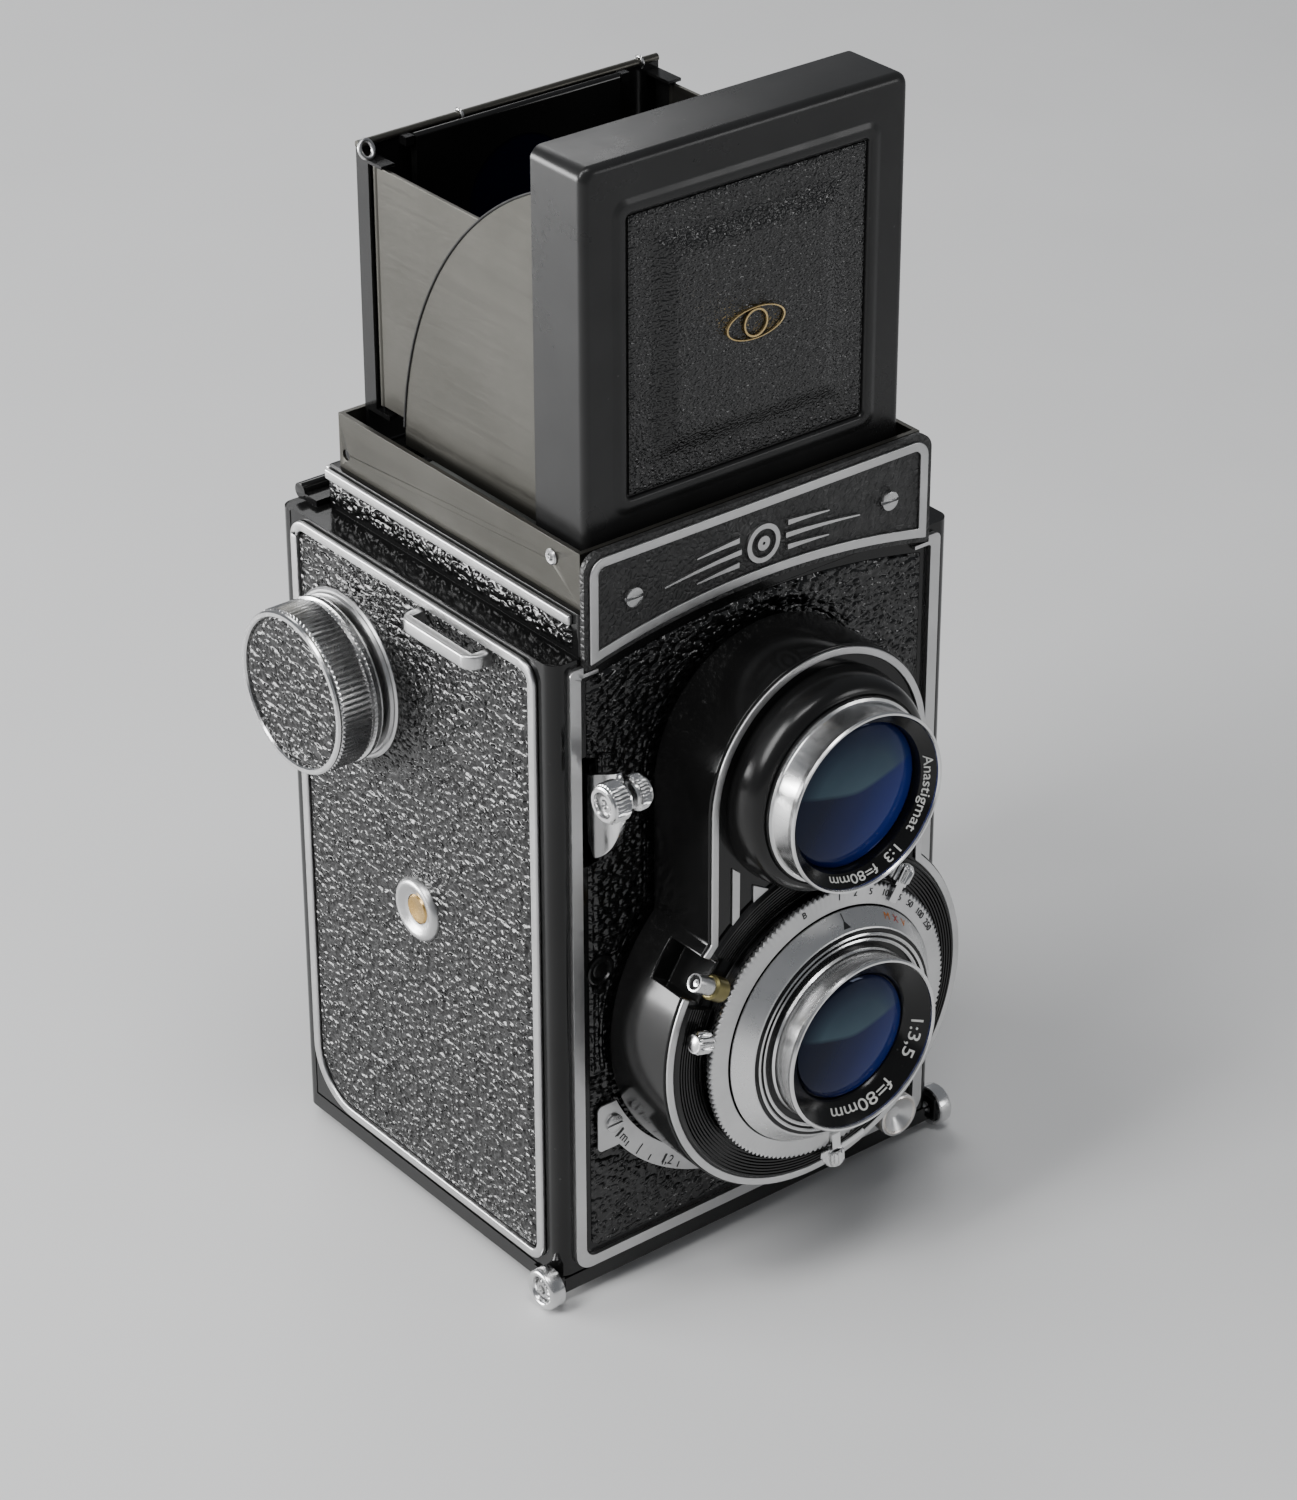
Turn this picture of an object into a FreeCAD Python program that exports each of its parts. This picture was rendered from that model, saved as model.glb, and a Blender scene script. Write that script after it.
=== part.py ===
"""Twin lens reflex camera for 6 x 6 cm roll film, modelled as separate named pieces.

Millimetres.  +Z is up, the lenses look along -Y and the film wind knob is on the -X side.
The origin is the mouth of the tripod socket, on the plane that the camera stands on.
"""
import FreeCAD, Part
import math
import os
import re
import Sketcher

SIZES = {
    # body casting
    "body_half": 38.0, "body_front": 34.0, "body_back": 31.2, "body_low": 5.0, "body_top": 112.5,
    "wall": 1.6, "body_round": 2.2, "skin": 0.5, "trim_rise": 0.8, "trim_wide": 1.6, "seam": 0.1,
    # side panels
    "side_back": 30.6, "side_low": 6.0, "side_top": 111.6, "heel_round": 10.0, "side_round": 3.4,
    "corner_round": 2.0,
    # front panel
    "front_half": 35.3, "front_low": 5.4, "front_top": 111.3,
    "front_inset": 3.4, "boss_across": 29.9, "boss_high": 58.6, "boss_radius": 2.3,
    "slot_near": 30.2, "slot_far": 32.8, "slot_low": 77.4, "slot_high": 96.0,
    # top rim, hood base and viewing screen
    "rim_half": 33.0, "rim_back": 28.0, "rim_top": 119.5, "well_half": 29.2, "well_front": 28.5,
    "well_back": 25.5, "hood_half": 32.0, "hood_front": 33.0, "hood_back": 26.2, "hood_top": 128.5,
    "sheet": 0.8, "screen_half": 27.0, "screen_front": 27.5, "screen_back": 24.5,
    "screen_low": 113.0, "screen_high": 117.4, "glass_thick": 1.8,
    # name plate
    "plate_half": 32.8, "plate_low": 110.4, "plate_high": 129.0, "plate_thick": 0.9, "plate_arch": 135.7,
    "plate_rise": 4.0, "outline_inset": 0.9, "outline_wide": 1.5, "outline_round": 2.8,
    "screw_apart": 24.2, "screw_high": 120.2, "screw_head": 1.5,
    # optical axes and the moving lens board
    "view_high": 88.0, "take_high": 46.0, "arch_radius": 20.8, "lobe_radius": 29.3,
    "board_face": 48.6, "board_back": 35.6, "board_skin": 1.4, "sleeve_inset": 2.5, "sleeve_back": 28.0,
    "throat": 29.0, "slide_gap": 0.3, "notch_near": 25.4, "notch_wide": 6.6, "notch_deep": 7.0,
    "view_barrel": 14.4, "view_base": 17.6, "view_front": 11.0, "view_glass": 11.9, "view_neck": 5.8,
    "take_barrel": 14.3, "take_glass": 10.2,
    "hub": 18.6, "case_radius": 22.4, "case_deep": 0.4, "lever_thick": 0.4, "layer": 0.5, "fit": 0.1,
    "ring_radius": 23.2, "ring_start": 1.95, "ring_deep": 1.35, "cone_big": 19.8, "cone_small": 17.5,
    "lever_reach": 24.4, "stub_radius": 1.45,
    # focusing
    "focus_inner": 27.3, "focus_outer": 28.7, "focus_reach": 37.6, "focus_cup": 3.6,
    "scale_inner": 29.8, "scale_outer": 33.5, "scale_thick": 0.25, "tab_far": 31.0, "tab_near": 26.4,
    "tab_low": 26.0, "tab_high": 34.3, "tab_screw": 32.0, "screw_depth": 0.5,
    # film transport
    "spool_flange": 11.4, "spool_core": 6.0, "spool_half": 31.6, "flange_thick": 1.0,
    "wind_back": 17.2, "wind_high": 90.0, "feed_front": 15.0, "feed_high": 17.0, "shaft": 4.0,
    "knob_radius": 13.2, "knob_face": 49.0, "knob_base": 13.7, "roller": 2.6, "roller_pin": 0.9, "roller_back": 27.1,
    "roller_low": 12.0, "roller_high": 79.5, "gate_half": 28.0, "gate_back": 27.0,
    # advance release button and strap lug
    "button_high": 56.0, "button_radius": 2.4, "bezel_radius": 5.3, "bezel_rise": 1.6,
    "lug_middle": 11.3, "lug_half": 9.0, "lug_high": 108.4, "lug_out": 4.4, "lug_bar": 1.2,
    # door with its latch knobs, feet and tripod socket
    "door_near": 31.5, "door_far": 34.4, "door_low": 2.0, "door_floor": 4.6, "door_top": 111.8,
    "hinge_back": 33.0, "hinge_high": 113.6, "hinge_radius": 1.3, "hinge_pin": 0.5,
    "latch_front": 32.9, "latch_high": 3.7, "latch_radius": 3.4, "latch_in": 38.6, "latch_thick": 2.6,
    "foot_radius": 3.0, "bush_radius": 9.0, "socket_radius": 4.76, "socket_deep": 5.0,
    # body release lever
    "release_back": 29.5, "release_high": 91.0, "release_radius": 13.0, "release_thick": 1.2,
    "handle_radius": 2.9,
    # hood
    "lid_half": 29.6, "lid_front": 31.4, "lid_back": 19.4, "lid_low": 123.4, "lid_top": 185.3,
    "recess_half": 22.1, "recess_low": 133.3, "recess_high": 177.1,
    "lid_pivot_front": 26.5, "lid_pivot_high": 125.6, "wing_out": 28.4, "wing_thick": 0.6,
    "wing_centre": 44.0, "wing_radius": 58.0, "wing_low": 126.6,
    "panel_half": 27.9, "panel_back": 24.9, "panel_front": 24.1, "panel_low": 120.6, "panel_top": 171.0,
    "panel_pivot": 122.0, "leaf_out": 27.2, "leaf_thick": 0.6, "leaf_low": 130.0, "leaf_top": 168.6,
    "leaf_front": 6.4, "leaf_hinge_left": 21.2, "leaf_hinge_right": 19.4,
    "lens_plate_half": 19.0, "lens_plate_long": 25.0, "lens_plate_high": 170.4,
    "lens_plate_back": 22.9, "loupe_radius": 9.6,
}

FACING = {
    "front": FreeCAD.Rotation(FreeCAD.Vector(1, 0, 0), FreeCAD.Vector(0, 0, 1), FreeCAD.Vector(0, -1, 0),
                              "ZXY"),
    "rear": FreeCAD.Rotation(FreeCAD.Vector(-1, 0, 0), FreeCAD.Vector(0, 0, 1), FreeCAD.Vector(0, 1, 0),
                             "ZXY"),
    "left": FreeCAD.Rotation(FreeCAD.Vector(0, -1, 0), FreeCAD.Vector(0, 0, 1), FreeCAD.Vector(-1, 0, 0),
                             "ZXY"),
    "right": FreeCAD.Rotation(FreeCAD.Vector(0, 1, 0), FreeCAD.Vector(0, 0, 1), FreeCAD.Vector(1, 0, 0),
                              "ZXY"),
    "up": FreeCAD.Rotation(),
}

SCALE_SCREW = math.radians(209.1)
SYNC_ANGLE = 146.0

doc = FreeCAD.newDocument("TwinLensReflex")
sheet = doc.addObject("Spreadsheet::Sheet", "Sizes")
for row, (alias, number) in enumerate(SIZES.items(), start=1):
    sheet.set(f"A{row}", alias)
    sheet.set(f"B{row}", str(number))
    sheet.setAlias(f"B{row}", alias)
doc.recompute()
NODES = []


# ---------------------------------------------------------------- helpers

def formula(text):
    """The text with every sheet alias in it spelled out for the expression engine."""
    return re.sub(r"[a-z_]+", lambda word: "Sizes." + word.group(0) if word.group(0) in SIZES else word.group(0),
                  str(text))


def number(text):
    """The same text worked out now, for a sketch's first guess."""
    names = re.compile(r"[a-z_]+")
    plain = names.sub(lambda word: repr(SIZES[word.group(0)]), str(text))
    return float(FreeCAD.Units.Quantity(plain).Value)


def bind(item, prop, text):
    item.setExpression(prop, formula(text))


def place(item, at, rotation=None):
    """Put an item at three bound coordinates, turned by a rotation."""
    if rotation is not None:
        item.Placement = FreeCAD.Placement(FreeCAD.Vector(), rotation)
    for axis, text in zip("xyz", at):
        bind(item, "Placement.Base." + axis, text)
    return item


def box(low, high):
    """A box between two corners."""
    item = doc.addObject("Part::Box", "Block")
    for prop, near, far in zip(("Length", "Width", "Height"), low, high):
        bind(item, prop, f"({far}) - ({near})")
    return place(item, low)


def rod(facing, at, radius, length, span=None, start=0.0):
    """A cylinder, or a sector of one, that starts at a point and runs the way it faces."""
    item = doc.addObject("Part::Cylinder", "Rod")
    bind(item, "Radius", radius)
    bind(item, "Height", length)
    if span is not None:
        item.Angle = span
    turn = FreeCAD.Rotation(FreeCAD.Vector(0, 0, 1), start)
    return place(item, at, FACING[facing].multiply(turn))


def fuse(*items):
    if len(items) == 1:
        return items[0]
    joined = doc.addObject("Part::MultiFuse", "Joined")
    joined.Shapes = list(items)
    return joined


def group(*items):
    """Separate solids kept apart in one compound."""
    together = doc.addObject("Part::Compound", "Group")
    together.Links = list(items)
    return together


def cut(base, *tools):
    part = doc.addObject("Part::Cut", "Cut")
    part.Base = base
    part.Tool = fuse(*tools)
    return part


def common(base, tool):
    part = doc.addObject("Part::Common", "Shared")
    part.Base = base
    part.Tool = tool
    return part


def rounded(base, radius, wanted):
    """Fillet the edges of a shape whose middle the test accepts."""
    doc.recompute()
    part = doc.addObject("Part::Fillet", "Rounded")
    part.Base = base
    edges = []
    for count, edge in enumerate(base.Shape.Edges, start=1):
        middle = edge.valueAt((edge.FirstParameter + edge.LastParameter) / 2)
        if wanted(middle, edge):
            edges.append((count, number(radius), number(radius)))
    part.Edges = edges
    return part


def along(edge, axis):
    start, end = edge.Vertexes[0].Point, edge.Vertexes[-1].Point
    return abs((end - start).normalize().dot(axis)) > 0.99 if (end - start).Length > 1e-6 else False


def node(label, item):
    item.Label = label
    NODES.append(item)
    return item


def origin_plane(body, role):
    return next(feature for feature in body.Origin.OriginFeatures if feature.Role == role)


def polygon(body, plane, points):
    """A closed sketch outline whose every corner is bound to the sheet."""
    sketch = body.newObject("Sketcher::SketchObject", "Outline")
    sketch.AttachmentSupport = [(origin_plane(body, plane), "")]
    sketch.MapMode = "FlatFace"
    corners = [FreeCAD.Vector(number(across), number(up), 0) for across, up in points]
    count = len(corners)
    for index in range(count):
        sketch.addGeometry(Part.LineSegment(corners[index], corners[(index + 1) % count]), False)
    for index in range(count):
        sketch.addConstraint(Sketcher.Constraint("Coincident", index, 2, (index + 1) % count, 1))
    for index, (across, up) in enumerate(points):
        for kind, text, guess in (("DistanceX", across, corners[index].x),
                                  ("DistanceY", up, corners[index].y)):
            if abs(guess) < 1e-9:
                sketch.addConstraint(Sketcher.Constraint("PointOnObject", index, 1,
                                                         -2 if kind == "DistanceX" else -1))
                continue
            spot = sketch.addConstraint(Sketcher.Constraint(kind, -1, 1, index, 1, guess))
            name = f"{kind.lower()}_{index}"
            sketch.renameConstraint(spot, name)
            sketch.setExpression("Constraints." + name, formula(text))
    return sketch


def turned(facing, at, profile):
    """A lathe part: corners are (radius, distance along the way it faces)."""
    body = doc.addObject("PartDesign::Body", "Turned")
    sketch = polygon(body, "XZ_Plane", profile)
    spin = body.newObject("PartDesign::Revolution", "Spin")
    spin.Profile = sketch
    spin.ReferenceAxis = (sketch, ["V_Axis"])
    spin.Angle = 360.0
    body.Tip = spin
    sketch.Visibility = False
    return place(body, at, FACING[facing])


def plate(facing, at, points, thick):
    """A flat part: a bound outline padded the way it faces."""
    body = doc.addObject("PartDesign::Body", "Plate")
    sketch = polygon(body, "XY_Plane", points)
    pad = body.newObject("PartDesign::Pad", "Pad")
    pad.Profile = sketch
    bind(pad, "Length", thick)
    body.Tip = pad
    return place(body, at, FACING[facing])


def rounded_loop(sketch, sides, radii):
    """Add a rounded rectangle to a sketch: sides are left, right, low, high; radii from low left round."""
    left, right, low, high = (number(text) for text in sides)
    sizes = [number(text) for text in radii]
    first = sketch.GeometryCount
    corners = [(left, low), (right, low), (right, high), (left, high)]
    inward = [(1, 1), (-1, 1), (-1, -1), (1, -1)]
    centres = [FreeCAD.Vector(corners[i][0] + inward[i][0] * sizes[i],
                              corners[i][1] + inward[i][1] * sizes[i], 0)
               for i in range(4)]
    ends = []
    for index in range(4):
        begin = math.pi + index * math.pi / 2
        circle = Part.Circle(centres[index], FreeCAD.Vector(0, 0, 1), sizes[index])
        arc = Part.ArcOfCircle(circle, begin, begin + math.pi / 2)
        ends.append((arc.StartPoint, arc.EndPoint))
        sketch.addGeometry(arc, False)
    for index in range(4):
        sketch.addGeometry(Part.LineSegment(ends[index][1], ends[(index + 1) % 4][0]), False)
    for index in range(4):
        arc, line, following = first + index, first + 4 + index, first + (index + 1) % 4
        sketch.addConstraint(Sketcher.Constraint("Tangent", arc, 2, line, 1))
        sketch.addConstraint(Sketcher.Constraint("Tangent", line, 2, following, 1))
        spot = sketch.addConstraint(Sketcher.Constraint("Radius", arc, sizes[index]))
        sketch.renameConstraint(spot, f"round_{arc}")
        sketch.setExpression(f"Constraints.round_{arc}", formula(radii[index]))
    sketch.addConstraint(Sketcher.Constraint("Horizontal", first + 4))
    sketch.addConstraint(Sketcher.Constraint("Vertical", first + 5))
    sketch.addConstraint(Sketcher.Constraint("Horizontal", first + 6))
    sketch.addConstraint(Sketcher.Constraint("Vertical", first + 7))
    for name, kind, line, text in (("low", "DistanceY", 4, sides[2]), ("right", "DistanceX", 5, sides[1]),
                                   ("high", "DistanceY", 6, sides[3]), ("left", "DistanceX", 7, sides[0])):
        spot = sketch.addConstraint(Sketcher.Constraint(kind, -1, 1, first + line, 1, number(text)))
        sketch.renameConstraint(spot, f"{name}_{first}")
        sketch.setExpression(f"Constraints.{name}_{first}", formula(text))


def panel(facing, at, thick, sides, radii, hole=None, hole_radii=None):
    """A rounded flat panel, or a frame when a hole is given."""
    body = doc.addObject("PartDesign::Body", "Panel")
    sketch = body.newObject("Sketcher::SketchObject", "Outline")
    sketch.AttachmentSupport = [(origin_plane(body, "XY_Plane"), "")]
    sketch.MapMode = "FlatFace"
    rounded_loop(sketch, sides, radii)
    if hole is not None:
        rounded_loop(sketch, hole, hole_radii)
    pad = body.newObject("PartDesign::Pad", "Pad")
    pad.Profile = sketch
    bind(pad, "Length", thick)
    body.Tip = pad
    return place(body, at, FACING[facing])


def keyhole(start, length, shrink):
    """The lens board's outline as a solid: an arch over the viewing lens on a lobe round the taking lens."""
    arch = f"arch_radius - ({shrink})"
    lobe = f"lobe_radius - ({shrink})"
    return fuse(rod("front", ("0", f"-({start})", "view_high"), arch, length),
                rod("front", ("0", f"-({start})", "take_high"), lobe, length),
                box((f"-({arch})", f"-({start}) - ({length})", "take_high"),
                    (arch, f"-({start})", "view_high")))


def mirrored(build):
    """Make a piece on the left and its twin on the right."""
    return build("left", "-"), build("right", "")


# ---------------------------------------------------------------- body casting and its covers

def make_body_shell():
    outside = box(("-body_half", "-body_front", "body_low"), ("body_half", "body_back", "body_top"))
    upright, crosswise = FreeCAD.Vector(0, 0, 1), FreeCAD.Vector(1, 0, 0)
    front = -number("body_front")
    outside = rounded(outside, "body_round", lambda middle, edge: abs(middle.y - front) < 0.1 and
                      along(edge, upright))
    inside = box(("-body_half + wall", "-body_front + wall", "body_low - 1"),
                 ("body_half - wall", "body_back + 1", "body_top - wall"))
    throat = fuse(rod("front", ("0", "-body_front + 3", "take_high"), "throat", "6"),
                  rod("front", ("0", "-body_front + 3", "view_high"),
                      "arch_radius - sleeve_inset + slide_gap", "6"),
                  box(("-arch_radius + sleeve_inset - slide_gap", "-body_front - 3", "take_high"),
                      ("arch_radius - sleeve_inset + slide_gap", "-body_front + 3", "view_high")))
    well = box(("-well_half", "-well_front", "body_top - 5"), ("well_half", "well_back", "body_top + 5"))
    slot = box(("-slot_far", "-body_front - 3", "slot_low"), ("-slot_near", "-body_front + 3", "slot_high"))
    bores = [rod("left", ("-body_half + 4", "wind_back", "wind_high"), "shaft + fit", "8"),
             rod("left", ("-body_half + 4", "0", "button_high"), "button_radius + fit", "8")]
    pins = [rod("left", (f"{sign}body_half + 3", back, high), "shaft / 2 + fit", "6")
            for sign, back, high in (("-", "-feed_front", "feed_high"), ("", "-feed_front", "feed_high"),
                                     ("", "wind_back", "wind_high"))]
    casting = cut(outside, inside, throat, well, slot, *bores, *pins)
    fixtures = [rod("right", ("-body_half + wall", "-release_back", "release_high"), "1",
                    "body_half - wall - 29.2")]
    for near, far, pin in (("-body_half + 3", "-body_half + 7.7", "-body_half + 7"),
                           ("body_half - 7.7", "body_half - 3", "body_half - 9")):
        fixtures.append(box((near, "rim_back + 0.6", "body_top"), (far, "hinge_back", "hinge_high")))
        fixtures.append(rod("right", (near, "hinge_back", "hinge_high"), "hinge_radius", "4.7"))
        fixtures.append(rod("right", (pin, "hinge_back", "hinge_high"), "hinge_pin", "2"))
    node("body_shell", fuse(casting, *fixtures))


def side_sides(facing, grow, radii_heel, radii_rest):
    """Sides and corner radii of a side panel, shrunk by an amount all round."""
    sides = (f"-side_back + ({grow})", f"side_back - ({grow})", f"side_low + ({grow})",
             f"side_top - ({grow})")
    heel, rest = radii_heel, radii_rest
    radii = (heel, rest, rest, rest) if facing == "left" else (rest, heel, rest, rest)
    return sides, radii


def make_side_covers():
    def trim(facing, sign):
        outer, outer_radii = side_sides(facing, "0", "heel_round", "side_round")
        inner, inner_radii = side_sides(facing, "trim_wide", "heel_round - trim_wide",
                                        "side_round - trim_wide")
        frame = panel(facing, (f"{sign}body_half", "0", "0"), "trim_rise", outer, outer_radii, inner,
                      inner_radii)
        if facing == "right":
            return frame
        return cut(frame, rod("left", ("-body_half + 2", "wind_back", "wind_high"), "knob_base + seam", "5"))

    def leather(facing, sign):
        sides, radii = side_sides(facing, "trim_wide + seam", "heel_round - trim_wide",
                                  "side_round - trim_wide")
        sheet_piece = panel(facing, (f"{sign}body_half", "0", "0"), "skin", sides, radii)
        near = f"{sign}body_half"
        holes = [box((f"{near} - 2", "-lug_middle - lug_half - seam", "lug_high - 2"),
                     (f"{near} + 2", "-lug_middle + lug_half + seam", "lug_high + 2"))]
        if facing == "left":
            holes.append(rod("left", (f"{near} + 2", "wind_back", "wind_high"), "knob_base + seam", "4"))
            holes.append(rod("left", (f"{near} + 2", "0", "button_high"), "bezel_radius + seam", "4"))
        else:
            holes.append(rod("left", (f"{near} + 2", "wind_back", "wind_high"), "shaft / 2 + fit", "4"))
        holes.append(rod("left", (f"{near} + 2", "-feed_front", "feed_high"), "shaft / 2 + fit", "4"))
        return cut(sheet_piece, *holes)

    def band(low, high, rise, gap):
        strips = [box(("-rim_half - " + rise, "-body_front + 1.5", low),
                      ("-rim_half", f"rim_back - {gap}", high)),
                  box(("rim_half", "-body_front + 1.5", low),
                      ("rim_half + " + rise, f"rim_back - {gap}", high)),
                  box((f"-rim_half + {gap}", "rim_back", low),
                      (f"rim_half - {gap}", "rim_back + " + rise, high))]
        return strips

    node("body_trims", group(*mirrored(trim), *band("rim_top - 2.2", "rim_top - 0.5", "trim_rise", "0.1")))
    node("body_leathers", group(*mirrored(leather), *band("body_top + 0.7", "rim_top - 2.3", "skin", "0.3")))


def make_front_covers():
    frame = panel("front", ("0", "-body_front", "0"), "trim_rise",
                  ("-front_half", "front_half", "front_low", "front_top"),
                  ("corner_round + 1", "corner_round + 1", "1", "1"),
                  ("-front_half + trim_wide + 0.3", "front_half - trim_wide - 0.3",
                   "front_low + trim_wide + 0.3",
                   "front_top - trim_wide"), ("corner_round", "corner_round", "0.5", "0.5"))
    gap = box(("-slot_near", "-body_front - 2", "plate_low - 3"),
              ("slot_near", "-body_front + 1", "front_top + 1"))
    under_plate = box(("-plate_half - seam", "-body_front - 2", "plate_low - seam"),
                      ("plate_half + seam", "-body_front + 1", "front_top + 1"))
    node("front_trim", cut(frame, gap, under_plate))
    blank = panel("front", ("0", "-body_front", "0"), "skin",
                  ("-front_half + front_inset", "front_half - front_inset", "front_low + front_inset - 0.4",
                   "body_top - 0.2"), ("corner_round", "corner_round", "1", "1"))
    under_plate = rod("front", ("0", "-body_front + 2", "plate_low + plate_rise - plate_arch"),
                      "plate_arch - 0.9", "4")
    leather = common(blank, under_plate)
    boss = rod("front", ("-boss_across", "-body_front + 2", "boss_high"), "boss_radius + 0.4", "4")
    hole = keyhole("body_front - 2", "4", "-seam - 0.1")
    slot = box(("-slot_far - seam", "-body_front - 2", "slot_low"),
               ("-slot_near + seam", "-body_front + 2", "slot_high"))
    node("front_leather", cut(leather, hole, slot, boss))


def make_name_plate():
    blank = panel("front", ("0", "-body_front", "0"), "plate_thick",
                  ("-plate_half", "plate_half", "plate_low", "plate_high"),
                  ("1", "1", "outline_round", "outline_round"))
    arch = rod("front", ("0", "-body_front + 2", "plate_low + plate_rise - plate_arch"), "plate_arch", "5")
    holes = [rod("front", (f"{sign}screw_apart", "-body_front + 2", "screw_high"),
                 "screw_head / 2 + fit", "5")
             for sign in ("-", "")]
    node("name_plate", cut(blank, arch, *holes))
    rings = []
    for inset, start, thick in (("outline_inset", "0", "0.4"), ("outline_inset + outline_wide", "1", "3")):
        sides = (f"-plate_half + {inset}", f"plate_half - ({inset})", "plate_low", f"plate_high - ({inset})")
        top_round = "outline_round" if start == "0" else "outline_round - outline_wide"
        sheet_piece = panel("front", ("0", f"-body_front - plate_thick + {start}", "0"), thick, sides,
                            ("0.5", "0.5", top_round, top_round))
        under = rod("front", ("0", "-body_front + 2", "plate_low + plate_rise - plate_arch"),
                    f"plate_arch + ({inset})", "8")
        rings.append(cut(sheet_piece, under))
    outline = cut(*rings)
    node("name_plate_trim", outline)
    screws = []
    for sign in ("-", ""):
        head = rod("front", (f"{sign}screw_apart", "-body_front - plate_thick", "screw_high"), "screw_head",
                   "0.8")
        shank = rod("rear", (f"{sign}screw_apart", "-body_front - plate_thick", "screw_high"),
                    "screw_head / 2",
                    "plate_thick")
        groove = box((f"{sign}screw_apart - 3", "-body_front - plate_thick - 2", "screw_high - 0.25"),
                     (f"{sign}screw_apart + 3", "-body_front - plate_thick - 0.4", "screw_high + 0.25"))
        screws.append(cut(fuse(head, shank), groove))
    spot = [f"tab_screw * {math.cos(SCALE_SCREW):.5f}", "-body_front - skin - scale_thick",
            f"take_high + tab_screw * {math.sin(SCALE_SCREW):.5f}"]
    head = rod("front", spot, "screw_head", "screw_depth")
    groove = box((f"{spot[0]} - 3", "-body_front - skin - scale_thick - 1", f"{spot[2]} - 0.2"),
                 (f"{spot[0]} + 3", "-body_front - skin - scale_thick - 0.3", f"{spot[2]} + 0.2"))
    screws.append(cut(head, groove))
    node("panel_screws", group(*screws))


def make_top_rim():
    outside = box(("-rim_half", "-body_front", "body_top"), ("rim_half", "rim_back", "rim_top"))
    well = box(("-well_half", "-well_front", "body_top - 1"), ("well_half", "well_back", "rim_top + 1"))
    node("top_rim", cut(outside, well))


def make_hood_base():
    outside = box(("-hood_half", "-hood_front", "rim_top"), ("hood_half", "hood_back", "hood_top"))
    inside = box(("-hood_half + sheet", "-hood_front + sheet", "rim_top - 1"),
                 ("hood_half - sheet", "hood_back - sheet", "hood_top + 1"))
    bores = [rod("left", ("hood_half + 1", back, high), "0.75 + fit", "2 * hood_half + 2")
             for back, high in (("-lid_pivot_front", "lid_pivot_high"), ("panel_back - 0.4", "panel_pivot"))]
    node("hood_base_frame", cut(outside, inside, *bores))


def make_screen():
    outside = box(("-screen_half", "-screen_front", "screen_low"),
                  ("screen_half", "screen_back", "screen_high"))
    seat = box(("-screen_half + 1.4", "-screen_front + 1.4", "screen_high - glass_thick - 0.4"),
               ("screen_half - 1.4", "screen_back - 1.4", "screen_high + 1"))
    window = box(("-screen_half + 2.4", "-screen_front + 2.4", "screen_low - 1"),
                 ("screen_half - 2.4", "screen_back - 2.4", "screen_high + 1"))
    arms = [box((near, "-screen_front", "screen_low"), (far, "screen_back", "screen_low + 1.2"))
            for near, far in (("-well_half", "-screen_half"), ("screen_half", "well_half"))]
    ends = [box(("-screen_half", near, "screen_low"), ("screen_half", far, "screen_low + 1.2"))
            for near, far in (("-well_front", "-screen_front"), ("screen_back", "well_back"))]
    slots = [box((near, "-24", "screen_low - 1"), (far, "20", "screen_low + 3"))
             for near, far in (("-well_half + 0.3", "-screen_half - 0.2"),
                               ("screen_half + 0.2", "well_half - 0.3"))]
    node("screen_frame", cut(fuse(outside, *arms, *ends), seat, window, *slots))
    node("focusing_screen", box(("-screen_half + 1.5", "-screen_front + 1.5",
                                 "screen_high - glass_thick - 0.4"),
                                ("screen_half - 1.5", "screen_back - 1.5", "screen_high - 0.4")))


# ---------------------------------------------------------------- inside the body

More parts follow.
